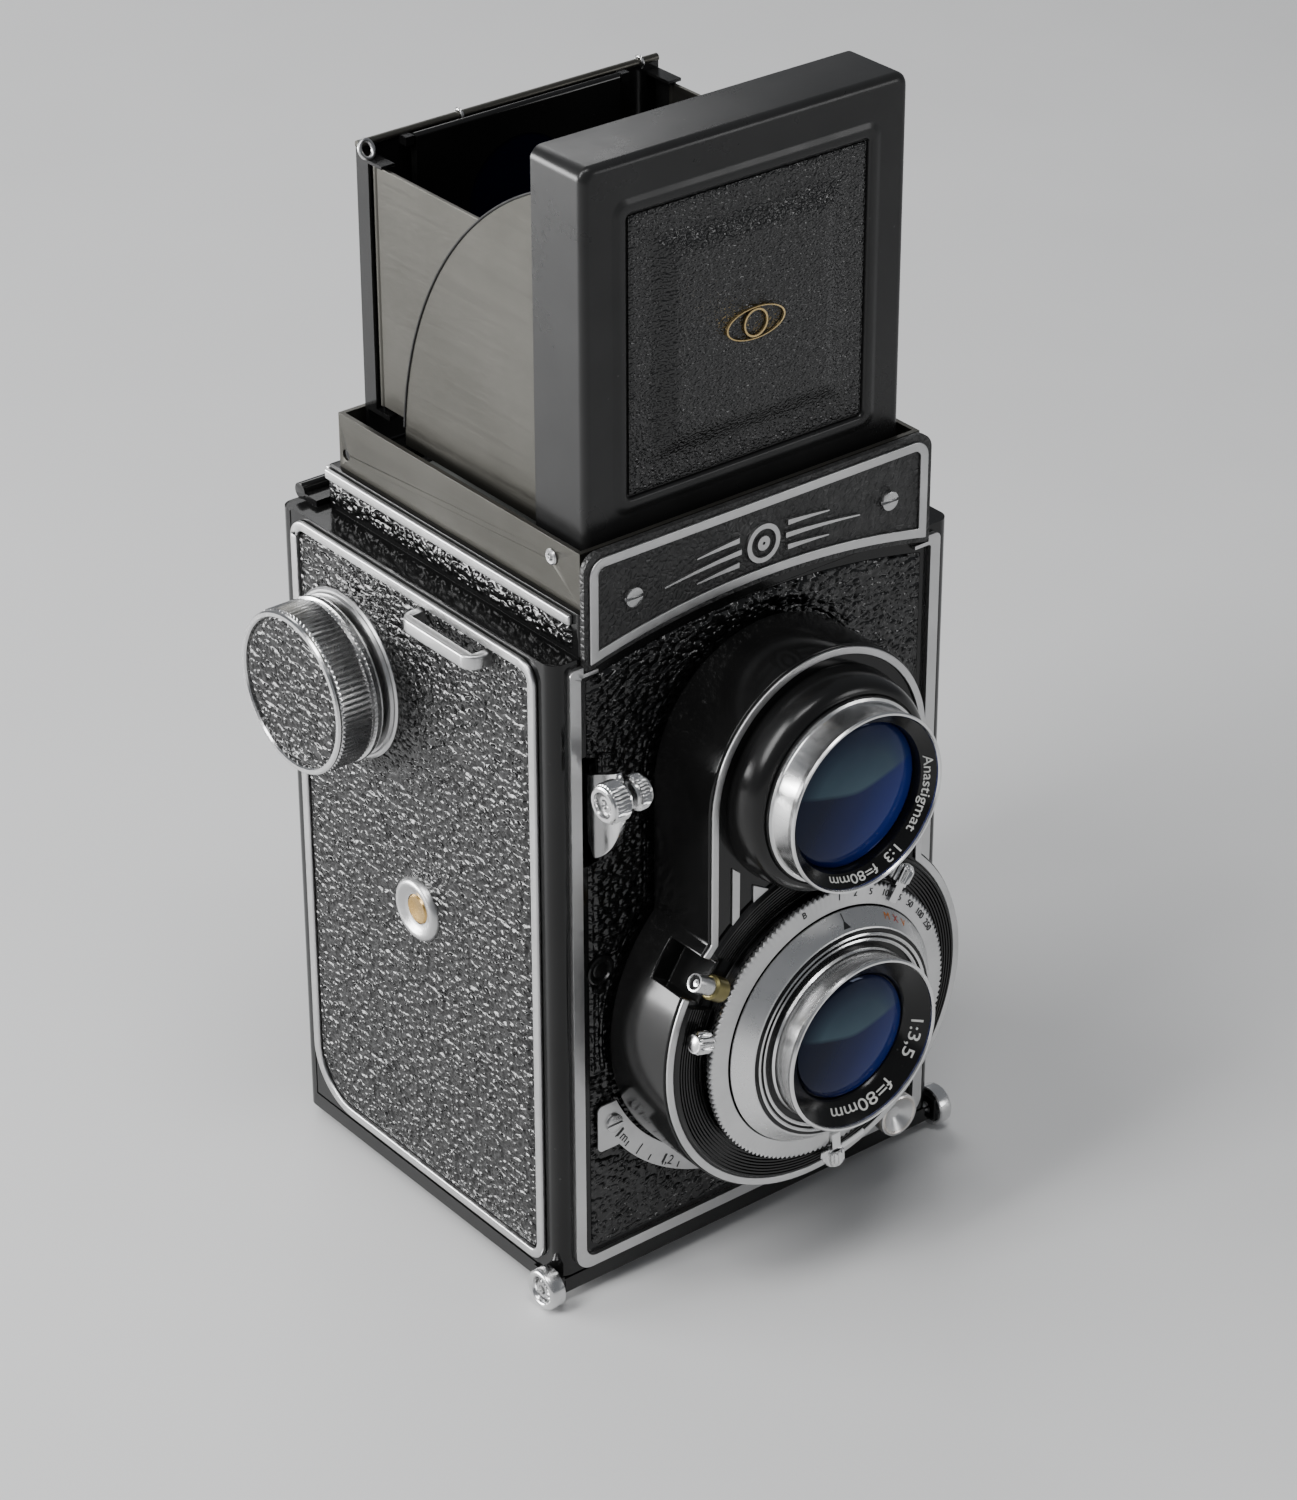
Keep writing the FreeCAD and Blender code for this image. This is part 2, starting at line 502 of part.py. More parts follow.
def make_light_paths():
    rise = "screen_low - screen_front"
    cheek_points = [("-screen_front", "screen_low - screen_front - screen_back"),
                    ("screen_back", "screen_low"),
                    ("-screen_front", "screen_low")]

    def cheek(facing, sign):
        flip = "-" if facing == "left" else ""
        points = [(f"{flip}({across})", up) for across, up in cheek_points]
        return plate(facing, (f"{sign}screen_half - ({sign}1)", "0", "0"), points, "1")

    floor_points = [("screen_back", "screen_low"),
                    ("-screen_front", "screen_low - screen_front - screen_back"),
                    ("-screen_front", "screen_low - screen_front - screen_back - 1.2"),
                    ("screen_back", "screen_low - 1.2")]
    floor = plate("right", ("-screen_half", "0", "0"), floor_points, "2 * screen_half")
    node("mirror_box", fuse(*mirrored(cheek), floor))
    glass_points = [("screen_back - 3", "screen_low - 3"),
                    ("-screen_front + 2", "screen_low - screen_front - screen_back + 2"),
                    ("-screen_front + 2", "screen_low - screen_front - screen_back + 3.8"),
                    ("screen_back - 3", "screen_low - 1.2")]
    node("reflex_mirror", plate("right", ("-screen_half + 2", "0", "0"), glass_points, "2 * screen_half - 4"))
    outer = doc.addObject("Part::Wedge", "Cone")
    inner = doc.addObject("Part::Wedge", "Hollow")
    for item, grow in ((outer, 0.0), (inner, -1.0)):
        item.Xmin, item.Xmax = -14.0 - grow, 14.0 + grow
        item.Zmin, item.Zmax = 32.0 - grow, 60.0 + grow
        item.Ymin, item.Ymax = (-26.0, 26.9) if grow == 0 else (-27.0, 28.0)
        item.X2min, item.X2max = -29.0 - grow, 29.0 + grow
        item.Z2min, item.Z2max = 17.0 - grow, 75.0 + grow
    node("taking_chamber", cut(outer, inner))
    gate = box(("-body_half + wall", "gate_back", "body_low + 1.6"),
               ("body_half - wall", "gate_back + 1.2", "take_high + gate_half + 8"))
    window = box(("-gate_half", "gate_back - 1", "take_high - gate_half"),
                 ("gate_half", "gate_back + 3", "take_high + gate_half"))
    slots = [box(("-spool_half - 1", "gate_back - 1", f"{high} - roller - 0.6"),
                 ("spool_half + 1", "gate_back + 3", f"{high} + roller + 0.6"))
             for high in ("roller_low", "roller_high")]
    bearings = [rod("right", ("-body_half", "roller_back", high), "roller_pin + fit", "2 * body_half")
                for high in ("roller_low", "roller_high")]
    node("film_gate", cut(gate, window, *slots, *bearings))
    for label, high in (("film_roller_lower", "roller_low"), ("film_roller_upper", "roller_high")):
        node(label, fuse(rod("right", ("-spool_half + 1.3", "roller_back", high), "roller",
                             "2 * spool_half - 2.6"),
                         rod("right", ("-spool_half - 2.4", "roller_back", high), "roller_pin",
                             "2 * spool_half + 4.8")))


def make_spool(label, back, high, shaft_left):
    parts = [rod("right", ("-spool_half", back, high), "spool_flange", "flange_thick"),
             rod("left", ("spool_half", back, high), "spool_flange", "flange_thick"),
             rod("right", ("-spool_half", back, high), "spool_core", "2 * spool_half"),
             rod("left", ("body_half", back, high), "shaft / 2", "body_half - spool_half + 0.5")]
    if shaft_left:
        parts.append(rod("left", ("-spool_half + 1", back, high), "shaft", "body_half - spool_half + 2.9"))
    else:
        parts.append(rod("left", ("-spool_half + 1", back, high), "shaft / 2", "body_half - spool_half + 1"))
    node(label, fuse(*parts))


def make_wind_knob():
    node("wind_base_ring", turned("left", ("-body_half", "wind_back", "wind_high"),
                                  [("shaft + 0.4", "0"), ("knob_base", "0"), ("knob_base", "0.9"),
                                   ("knob_base - 0.8", "1.6"), ("shaft + 0.4", "1.6")]))
    knob = turned("left", ("-body_half - 1.9", "wind_back", "wind_high"),
                  [("shaft", "0"), ("knob_radius - 3.4", "0"), ("knob_radius - 3.4", "2.4"),
                   ("knob_radius - 0.5", "2.4"),
                   ("knob_radius", "3"), ("knob_radius", "knob_face - body_half - 2.4"),
                   ("knob_radius - 0.5", "knob_face - body_half - 1.9"), ("shaft",
                                                                          "knob_face - body_half - 1.9")])
    recess = rod("left", ("-knob_face + 0.6", "wind_back", "wind_high"), "knob_radius - 1.3", "2")
    core = rod("left", ("-body_half - 1.9", "wind_back", "wind_high"), "shaft + 0.2",
               "knob_face - body_half - 1.9")
    node("wind_knob", cut(fuse(knob, core), recess))
    node("wind_knob_leather", rod("left", ("-knob_face + 0.6", "wind_back", "wind_high"),
                                  "knob_radius - 1.4", "0.5"))


def make_small_side_parts():
    bezel = turned("left", ("-body_half", "0", "button_high"),
                   [("button_radius + fit", "0"), ("bezel_radius", "0"), ("bezel_radius", "0.8"),
                    ("bezel_radius - 0.6", "bezel_rise"), ("bezel_radius - 1.2", "bezel_rise"),
                    ("button_radius + fit", "0.5")])
    node("release_bezel", bezel)
    stem = rod("left", ("-body_half + 4.2", "0", "button_high"), "button_radius", "5.4")
    collar = rod("left", ("-body_half + wall + 1.3", "0", "button_high"), "button_radius + 1", "1.2")
    node("advance_button", fuse(stem, collar))

    def lug(facing, sign):
        near, far = ("-body_half - lug_out", "-body_half") if facing == "left" else ("body_half",
                                                                                     "body_half + lug_out")
        block = box((near, "-lug_middle - lug_half", "lug_high - lug_bar"),
                    (far, "-lug_middle + lug_half", "lug_high + lug_bar"))
        outer = number("body_half + lug_out - 0.1")
        upright = FreeCAD.Vector(0, 0, 1)
        block = rounded(block, "2.6", lambda middle, edge: abs(middle.x) > outer and along(edge, upright))
        shrink = ("-body_half - lug_out + 1.5", "-body_half + 1") if facing == "left" else \
                 ("body_half - 1", "body_half + lug_out - 1.5")
        eye = box((shrink[0], "-lug_middle - lug_half + 1.6", "lug_high - 3"),
                  (shrink[1], "-lug_middle + lug_half - 1.6", "lug_high + 3"))
        return cut(block, eye)

    node("strap_lugs", group(*mirrored(lug)))


# ---------------------------------------------------------------- back door

def make_back_door():
    rear = box(("-body_half", "door_near", "door_low"), ("body_half", "door_far", "door_top"))
    upright = FreeCAD.Vector(0, 0, 1)
    far = number("door_far")
    rear = rounded(rear, "body_round", lambda middle,
                   edge: abs(middle.y - far) < 0.1 and along(edge, upright))
    floor = box(("-body_half", "-body_front", "door_low"), ("body_half", "door_near", "door_floor"))
    knuckle = rod("right", ("-body_half + 8", "hinge_back", "hinge_high"), "hinge_radius",
                  "2 * body_half - 16")
    web = box(("-body_half + 8", "hinge_back - 1", "door_top - 1"),
              ("body_half - 8", "hinge_back + 1", "hinge_high"))
    ears, feet = [], []
    for low, high in (("-latch_in + 0.1", "-body_half"), ("body_half", "latch_in - 0.1")):
        ears.append(box((low, "-latch_front - 2.2", "door_low"),
                        (high, "-latch_front + 2.2", "latch_high + 2.4")))
        ears.append(box((low, "-latch_front + 1", "door_low"), (high, "-latch_front + 5", "door_floor")))
    bores = [rod("right", (near, "-latch_front", "latch_high"), "1.25", "4") for near in ("-body_half - 3",
                                                                                          "body_half - 1")]
    for across in ("-body_half + 8", "body_half - 8"):
        for back in ("-body_front + 8", "door_near - 8"):
            feet.append(rod("up", (across, back, "0"), "foot_radius", "door_low"))
    bush_seat = rod("up", ("0", "0", "0"), "bush_radius", "door_floor + 1")
    pin_bore = rod("right", ("-body_half", "hinge_back", "hinge_high"), "hinge_pin + fit / 2",
                   "2 * body_half")
    node("back_door", cut(fuse(rear, floor, knuckle, web, *ears, *feet), bush_seat, pin_bore, *bores))
    bush = rod("up", ("0", "0", "0"), "bush_radius", "socket_deep + 1")
    node("tripod_bush", cut(bush, rod("up", ("0", "0", "-1"), "socket_radius", "socket_deep + 1")))
    node("door_leather", panel("rear", ("0", "door_far", "0"), "skin",
                               ("-body_half + 3", "body_half - 3", "door_low + 8", "door_top - 3"),
                               ("3", "3", "2", "2")))
    node("pressure_plate", box(("-gate_half - 2", "gate_back + 2", "take_high - gate_half - 2"),
                               ("gate_half + 2", "gate_back + 3.2", "take_high + gate_half + 2")))
    springs = []
    for high in ("take_high - 14", "take_high + 14"):
        strip = box(("-10", "gate_back + 3.2", f"{high} - 2.5"), ("10", "door_near", f"{high} + 2.5"))
        bow = box(("-7", "gate_back + 3.6", f"{high} - 3"), ("7", "door_near - 0.4", f"{high} + 3"))
        springs.append(cut(strip, bow))
    node("pressure_springs", group(*springs))


def make_latch_knobs():
    for side, facing, sign in (("left", "left", "-"), ("right", "right", "")):
        disc = turned(facing, (f"{sign}latch_in", "-latch_front", "latch_high"),
                      [("0", "0"), ("latch_radius", "0"), ("latch_radius", "latch_thick - 0.6"),
                       ("latch_radius - 0.5", "latch_thick"), ("latch_radius - 1.1", "latch_thick"),
                       ("latch_radius - 1.4", "latch_thick - 0.9"), ("0", "latch_thick - 0.9")])
        pin = rod(facing, (f"{sign}body_half + ({sign}0.1)", "-latch_front", "latch_high"), "1.2", "1.2")
        node(f"latch_knob_{side}", fuse(disc, pin))


# ---------------------------------------------------------------- moving lens board

def notch(shrink):
    """The square cut in the housing's edge that clears a flash plug on the sync post."""
    angle = math.radians(SYNC_ANGLE)
    across, up = math.cos(angle), math.sin(angle)
    block = doc.addObject("Part::Box", "Notch")
    bind(block, "Length", f"12 - ({shrink})")
    bind(block, "Width", f"notch_wide - 2 * ({shrink})")
    bind(block, "Height", f"notch_deep + 3 - ({shrink})")
    turn = FACING["front"].multiply(FreeCAD.Rotation(FreeCAD.Vector(0, 0, 1), SYNC_ANGLE))
    half = f"(notch_wide / 2 - ({shrink}))"
    near = f"(notch_near + ({shrink}))"
    return place(block, (f"{near} * {across:.5f} + {half} * {up:.5f}",
                         f"-board_face + notch_deep - ({shrink})",
                         f"take_high + {near} * {up:.5f} - {half} * {across:.5f}"), turn)


def make_lens_housing():
    outside = keyhole("board_back", "board_face - board_back", "0")
    inside = keyhole("board_back - 1", "board_face - board_back + 1 - board_skin", "board_skin")
    holes = [rod("front", ("0", "-board_face + 5", "view_high"), "view_glass", "8"),
             rod("front", ("0", "-board_face + 5", "take_high"), "take_glass", "8")]
    ledge = common(keyhole("board_back", "board_face - board_back", "0"), notch("-1.4"))
    node("lens_housing", cut(fuse(cut(outside, inside, *holes), ledge), notch("0")))
    line = fuse(cut(keyhole("board_face", "0.5", "0.3"), keyhole("board_face - 1", "3", "1.5")))
    node("housing_trim", cut(line, notch("-0.1")))
    tube = keyhole("sleeve_back", "board_face - board_skin - sleeve_back", "sleeve_inset")
    bore = keyhole("sleeve_back - 1", "board_face - sleeve_back + 2", "sleeve_inset + 1.2")
    bridge = box(("-arch_radius + sleeve_inset + 0.5", "-board_face + board_skin + 0.1", "view_high - 19"),
                 ("arch_radius - sleeve_inset - 0.5", "-sleeve_back", "view_high - 17.6"))
    node("lens_sleeve", cut(fuse(cut(tube, bore), bridge), notch("-1.5")))


def make_viewing_lens():
    barrel = turned("front", ("0", "-board_face", "view_high"),
                    [("view_glass", "0"), ("view_base", "0"), ("view_base - 0.9", "view_neck - 1.1"),
                     ("view_barrel + 0.6", "view_neck"), ("view_barrel - 0.5", "view_neck"),
                     ("view_barrel - 0.5", "view_neck + 0.2"), ("view_barrel", "view_neck + 0.2"),
                     ("view_barrel", "view_front"), ("view_barrel - 0.8", "view_front"),
                     ("view_barrel - 2", "view_front - 2.4"), ("view_glass", "view_front - 3")])
    node("viewing_barrel", barrel)
    node("viewing_glass", turned("front", ("0", "-board_face", "view_high"),
                                 [("0", "2"), ("view_glass", "2"), ("view_glass", "view_front - 3.6"),
                                  ("view_glass / 2", "view_front - 2.6"), ("0", "view_front - 2.3")]))


def make_shutter():
    case = rod("front", ("0", "-board_face", "take_high"), "case_radius", "case_deep")
    hub = rod("front", ("0", "-board_face", "take_high"), "hub", "ring_start + ring_deep + 0.1")
    bore = rod("front", ("0", "-board_face + 3", "take_high"), "take_barrel - 1.2", "15")
    node("shutter_case", cut(fuse(case, hub), bore))
    front = "-board_face - ring_start - ring_deep - 0.1"
    node("speed_ring", turned("front", ("0", "-board_face - ring_start", "take_high"),
                              [("hub + fit", "0"), ("ring_radius", "0"), ("ring_radius", "ring_deep - 0.4"),
                               ("ring_radius - 0.5", "ring_deep"), ("hub + fit", "ring_deep")]))
    node("face_ring", turned("front", ("0", front, "take_high"),
                             [("take_barrel - 1.2", "0"), ("hub", "0"), ("cone_big", "0.2"),
                              ("cone_big", "0.7"), ("cone_small", "3.3"), ("take_barrel - 1.2", "3.3")]))
    node("taking_barrel", turned("front", ("0", front, "take_high"),
                                 [("take_glass", "3.4"), ("take_barrel", "3.4"), ("take_barrel", "8.2"),
                                  ("take_barrel - 0.8", "8.2"), ("take_barrel - 2.2", "6.5"),
                                  ("take_glass", "5.9")]))
    node("taking_glass", turned("front", ("0", front, "take_high"),
                                [("0", "1.9"), ("take_glass", "1.9"), ("take_glass", "4.9"),
                                 ("take_glass / 2", "5.9"), ("0", "6.3")]))
    node("rear_elements", group(rod("rear", ("0", "-board_face", "take_high"), "take_glass", "4"),
                                rod("rear", ("0", "-board_face", "view_high"), "view_glass", "4")))


def spoke(angle, near, at, wide, long, thick):
    """A flat bar that points out from the taking axis, its back at a place along the axis."""
    across, up = math.cos(math.radians(angle)), math.sin(math.radians(angle))
    bar = doc.addObject("Part::Box", "Spoke")
    bind(bar, "Length", long)
    bind(bar, "Width", wide)
    bind(bar, "Height", thick)
    turn = FACING["front"].multiply(FreeCAD.Rotation(FreeCAD.Vector(0, 0, 1), angle))
    half = f"({wide}) / 2"
    return place(bar, (f"({near}) * {across:.6f} + {half} * {up:.6f}", at,
                       f"take_high + ({near}) * {up:.6f} - {half} * {across:.6f}"), turn)


def stub(angle, near, at, radius, long):
    """A round stub that points out from the taking axis."""
    across, up = math.cos(math.radians(angle)), math.sin(math.radians(angle))
    piece = doc.addObject("Part::Cylinder", "Stub")
    bind(piece, "Radius", radius)
    bind(piece, "Height", long)
    turn = FACING["front"].multiply(FreeCAD.Rotation(FreeCAD.Vector(0, 0, 1), angle))
    tilt = turn.multiply(FreeCAD.Rotation(FreeCAD.Vector(0, 1, 0), 90))
    return place(piece, (f"({near}) * {across:.6f}", at, f"take_high + ({near}) * {up:.6f}"), tilt)


def make_shutter_levers():
    """Three levers on rings round the shutter hub, one layer behind another.

    Each has a knurled stub outside the speed ring; two also reach over the ring with a pointer.
    """
    levers = {"cocking_lever": (0, 56.0, True), "aperture_lever": (1, -86.0, True),
              "selector_lever": (2, 166.0, False)}
    for label, (layer, angle, pointed) in levers.items():
        start = f"-board_face - case_deep - {layer} * layer - 0.05"
        ring = cut(rod("front", ("0", start, "take_high"), "case_radius", "lever_thick"),
                   rod("front", ("0", f"{start} + 1", "take_high"), "hub + fit", "3"))
        arm = (angle, "hub + 1", start, "2.4", "lever_reach - hub - 1", "lever_thick")
        pieces = [fuse(ring, spoke(*arm))]
        if pointed:
            front = "-board_face - ring_start - ring_deep - 0.2"
            pieces.append(spoke(angle, "lever_reach - 0.9", f"{start} - lever_thick", "2.4", "0.9",
                                f"({start}) - lever_thick - ({front}) + 0.5"))
            pieces.append(spoke(angle, "cone_big + 1", front, "1.6", "lever_reach - cone_big - 1.9",
                                "0.5"))
            pieces.append(stub(angle, "lever_reach", f"{front} + 0.5", "stub_radius", "2.3"))
        else:
            straddling = stub(angle, "ring_radius + 0.3", "-board_face - 2.5", "stub_radius", "3")
            pieces.append(cut(straddling, spoke(*arm)))
        node(label, group(*pieces))


def make_sync_post():
    angle = math.radians(SYNC_ANGLE)
    across, up = math.cos(angle), math.sin(angle)
    turn = FACING["front"].multiply(FreeCAD.Rotation(FreeCAD.Vector(0, 0, 1), SYNC_ANGLE))
    tilt = turn.multiply(FreeCAD.Rotation(FreeCAD.Vector(0, 1, 0), 90))
    pieces = []
    for radius, near, length in (("1.8", 24.8, "3"), ("1.3", 27.7, "3.3")):
        piece = doc.addObject("Part::Cylinder", "Post")
        bind(piece, "Radius", radius)
        bind(piece, "Height", length)
        pieces.append(place(piece, (f"{near * across:.4f}", "-board_face - 2.6",
                                    f"take_high + {near * up:.4f}"), tilt))
    foot = rod("front", (f"24.2 * {across:.5f}", "-board_face", f"take_high + 24.2 * {up:.5f}"), "0.9", "2.6")
    node("sync_post", fuse(*pieces, foot))


def make_focusing():
    start = 305.5
    ring = cut(rod("front", ("0", "-30", "take_high"), "focus_outer", "4.9", 150, start - 74),
               rod("front", ("0", "-29", "take_high"), "focus_inner", "8"))
    across, up = math.cos(math.radians(start)), math.sin(math.radians(start))
    arm = doc.addObject("Part::Box", "Arm")
    bind(arm, "Length", "focus_reach - focus_inner")
    arm.Width, arm.Height = 5.0, 0.6
    turn = FACING["front"].multiply(FreeCAD.Rotation(FreeCAD.Vector(0, 0, 1), start))
    place(arm, (f"focus_inner * {across:.6f} + 2.5 * {up:.6f}", "-board_back + 0.8",
                f"take_high + focus_inner * {up:.6f} - 2.5 * {across:.6f}"), turn)
    centre = (f"focus_reach * {across:.6f}", "-board_back + 0.3", f"take_high + focus_reach * {up:.6f}")
    cup = turned("front", centre, [("0", "0"), ("2", "0"), ("2", "5"), ("focus_cup", "7"),
                                   ("focus_cup", "9.2"),
                                   ("focus_cup - 0.7", "9.2"), ("1", "8"), ("0", "8")])
    node("focus_lever", fuse(cut(arm, rod("front", ("0", "-20", "take_high"), "focus_inner", "20")), ring,
                             cup))
    sector = rod("front", ("0", "-body_front - skin", "take_high"), "scale_outer", "scale_thick", 48, 205)
    tab = panel("front", ("0", "-body_front - skin", "0"), "scale_thick",
                ("-tab_far", "-tab_near", "tab_low", "tab_high"), ("1", "0.5", "0.5", "1"))
    node("focus_scale", cut(fuse(sector, tab), rod("front", ("0", "-body_front + 2", "take_high"),
                                                   "scale_inner", "6")))


def make_body_release():
    """A quarter disc on a pin, with the knurled double handle at its front."""
    disc = rod("right", ("-slot_far + 0.5", "-release_back", "release_high"), "release_radius",
               "release_thick", 85, 155)
    hub = rod("right", ("-slot_far - 0.8", "-release_back", "release_high"), "2.4", "release_thick + 2.6")
    bore = rod("right", ("-slot_far - 2", "-release_back", "release_high"), "1 + fit / 2", "8")
    node("release_lever", cut(fuse(disc, hub), bore))
    across = "-slot_far + 0.5"
    centre = ("-release_back - 13.4", "release_high + 2.4")
    left = rod("left", (across, *centre), "handle_radius", "3.4")
    right = rod("right", (f"{across} + release_thick", *centre), "handle_radius", "2.6")
    bore = rod("left", (f"{across} - 1.2", *centre), "1.5", "3")
    node("release_handle", group(cut(left, bore), right))


# ---------------------------------------------------------------- folding hood

def make_lid():
    outside = box(("-lid_half", "-lid_front", "lid_low"), ("lid_half", "-lid_back", "lid_top"))
    inside = box(("-lid_half + sheet", "-lid_front + sheet", "lid_low - 1"),
                 ("lid_half - sheet", "-lid_back + 1", "lid_top - sheet"))
    window = box(("-recess_half", "-lid_front - 1", "recess_low"),
                 ("recess_half", "-lid_front + 0.3", "recess_high"))
    pins = [rod("left", (near, "-lid_pivot_front", "lid_pivot_high"), "0.75", "2.4")
            for near in ("-lid_half + 0.4", "lid_half + 2")]
    tray = cut(outside, inside, window)
    node("hood_lid", fuse(tray, *pins))
    node("lid_leather", box(("-recess_half + 0.5", "-lid_front", "recess_low + 0.5"),
                            ("recess_half - 0.5", "-lid_front + 0.3", "recess_high - 0.5")))

    def wing(facing, sign):
        near, far = "wing_out - wing_thick", "wing_out"
        if facing == "left":
            near, far = "-wing_out", "-wing_out + wing_thick"
        sector = rod("right", (near, "-wing_centre", "lid_pivot_high"), "wing_radius", "wing_thick")
        block = box((near, "-lid_front + sheet", "wing_low"), (far, "wing_radius", "lid_top - sheet - 0.2"))
        return common(sector, block)

    node("lid_wings", group(*mirrored(wing)))


def make_back_panel():
    board = box(("-panel_half", "panel_front", "panel_low"), ("panel_half", "panel_back", "panel_top"))
    flanges = [box((near, "leaf_hinge_right - 0.8", "leaf_low - 1.4"), (far, "panel_front", "leaf_low - 0.6"))
               for near, far in (("-panel_half", "-panel_half + 2.4"), ("panel_half - 2.4", "panel_half"))]
    tops = [box((near, "leaf_hinge_right - 0.8", "leaf_top + 0.3"), (far, "panel_front", "leaf_top + 0.8"))
            for near, far in (("-panel_half", "-panel_half + 2.4"), ("panel_half - 2.4", "panel_half"))]
    sides = [box((near, f"{hinge} + 0.75", "leaf_low - 1.4"), (far, "panel_front", "leaf_top + 0.8"))
             for near, far, hinge in (("-panel_half", "-panel_half + 0.6", "leaf_hinge_left"),
                                      ("panel_half - 0.6", "panel_half", "leaf_hinge_right"))]
    pins = [rod("up", (across, back, "leaf_low - 1"), "0.2", "leaf_top - leaf_low + 1.5")
            for across, back in (("-leaf_out + leaf_thick / 2", "leaf_hinge_left"),
                                 ("leaf_out - leaf_thick / 2", "leaf_hinge_right"))]
    axle = rod("right", ("-hood_half + 0.2", "panel_back - 0.4", "panel_pivot"), "0.75",
               "2 * hood_half - 0.4")
    lens_pins = [rod("right", (near, "lens_plate_back", "lens_plate_high"), "0.4", "2.4")
                 for near in ("-lens_plate_half - 1.8", "lens_plate_half - 0.6")]
    lens_ears = [box((near, "lens_plate_back - 0.7", "lens_plate_high - 0.8"),
                     (far, "panel_front", "panel_top"))
                 for near, far in (("-lens_plate_half - 1.8", "-lens_plate_half - 0.3"),
                                   ("lens_plate_half + 0.3", "lens_plate_half + 1.8"))]
    node("back_panel", fuse(board, *flanges, *tops, *sides, axle, *pins, *lens_pins, *lens_ears))


def make_rear_leaves():
    for side, sign, hinge in (("left", "-", "leaf_hinge_left"), ("right", "", "leaf_hinge_right")):
        near, far = ("-leaf_out", "-leaf_out + leaf_thick") if side == "left" else ("leaf_out - leaf_thick",
                                                                                    "leaf_out")
        sheet_piece = box((near, "-leaf_front", "leaf_low"), (far, hinge, "leaf_top"))
        middle = f"{sign}(leaf_out - leaf_thick / 2)"
        knuckle = rod("up", (middle, hinge, "leaf_low"), "0.55", "leaf_top - leaf_low")
        bore = rod("up", (middle, hinge, "leaf_low - 1"), "0.26", "leaf_top - leaf_low + 2")
        node(f"rear_leaf_{side}", cut(fuse(sheet_piece, knuckle), bore))


def make_magnifier():
    low = "lens_plate_high - lens_plate_long"
    board = box(("-lens_plate_half", "lens_plate_back - 0.7", low),
                ("lens_plate_half", "lens_plate_back + 0.7",
                                                                    "lens_plate_high"))
    knuckle = rod("right", ("-lens_plate_half", "lens_plate_back", "lens_plate_high"), "0.7",
                  "2 * lens_plate_half")
    middle = f"{low} + loupe_radius + 1.6"
    eye = rod("front", ("0", "lens_plate_back + 2", middle), "loupe_radius", "5")
    bore = rod("right", ("-lens_plate_half - 1", "lens_plate_back", "lens_plate_high"), "0.46",
               "2 * lens_plate_half + 2")
    node("magnifier_frame", cut(fuse(board, knuckle), eye, bore))
    node("magnifier_lens", rod("front", ("0", "lens_plate_back + 0.6", middle), "loupe_radius", "1.2"))


# ---------------------------------------------------------------- build, test and write

make_body_shell()
make_side_covers()
make_front_covers()
make_name_plate()
make_top_rim()
make_hood_base()
make_screen()
make_light_paths()
make_spool("takeup_spool", "wind_back", "wind_high", True)
make_spool("feed_spool", "-feed_front", "feed_high", False)
make_wind_knob()
make_small_side_parts()
make_back_door()
make_latch_knobs()
make_lens_housing()
make_viewing_lens()
make_shutter()
make_shutter_levers()
make_sync_post()
make_focusing()
make_body_release()
make_lid()
make_back_panel()
make_rear_leaves()
make_magnifier()

doc.recompute()
faults = [item.Label for item in doc.Objects if "Invalid" in item.State or "Error" in item.State]
faults += [item.Label for item in NODES if item.Shape.isNull() or not item.Shape.isValid()]
if faults:
    raise SystemExit("not built: " + ", ".join(faults))
os.makedirs("parts", exist_ok=True)
for item in NODES:
    item.Shape.exportStep(f"parts/{item.Label}.step")
    bounds = item.Shape.BoundBox
    print(f"{item.Label:22s} solids {len(item.Shape.Solids)} volume {item.Shape.Volume:10.1f}")
print(len(NODES), "parts")
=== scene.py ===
"""The looks of the twin lens reflex camera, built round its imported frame.

The helpers take millimetres in the frame of the part: +Z up, the lenses look along -Y, and the
wind knob is on -X. A face is a plane with its own u to the right, v up and h out of it.
"""

import math

import bmesh
import bpy
from mathutils import Matrix, Vector, noise


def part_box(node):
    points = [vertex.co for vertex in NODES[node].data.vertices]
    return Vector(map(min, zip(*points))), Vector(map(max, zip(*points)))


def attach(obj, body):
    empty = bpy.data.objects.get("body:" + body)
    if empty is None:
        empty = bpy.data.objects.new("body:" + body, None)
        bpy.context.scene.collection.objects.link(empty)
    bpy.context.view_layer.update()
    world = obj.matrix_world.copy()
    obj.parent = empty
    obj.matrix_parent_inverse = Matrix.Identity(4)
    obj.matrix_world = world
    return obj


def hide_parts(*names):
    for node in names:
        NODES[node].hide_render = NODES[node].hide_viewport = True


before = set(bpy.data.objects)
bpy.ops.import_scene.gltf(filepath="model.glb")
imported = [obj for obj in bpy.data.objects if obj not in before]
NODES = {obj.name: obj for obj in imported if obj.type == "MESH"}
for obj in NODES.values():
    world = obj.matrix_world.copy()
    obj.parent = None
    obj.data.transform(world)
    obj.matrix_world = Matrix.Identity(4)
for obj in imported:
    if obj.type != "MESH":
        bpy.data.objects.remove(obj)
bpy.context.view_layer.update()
MM = 0.001

FACES = {
    "front": (Vector((1, 0, 0)), Vector((0, 0, 1)), Vector((0, -1, 0))),
    "rear": (Vector((-1, 0, 0)), Vector((0, 0, 1)), Vector((0, 1, 0))),
    "left": (Vector((0, -1, 0)), Vector((0, 0, 1)), Vector((-1, 0, 0))),
    "right": (Vector((0, 1, 0)), Vector((0, 0, 1)), Vector((1, 0, 0))),
    "up": (Vector((1, 0, 0)), Vector((0, 1, 0)), Vector((0, 0, 1))),
}


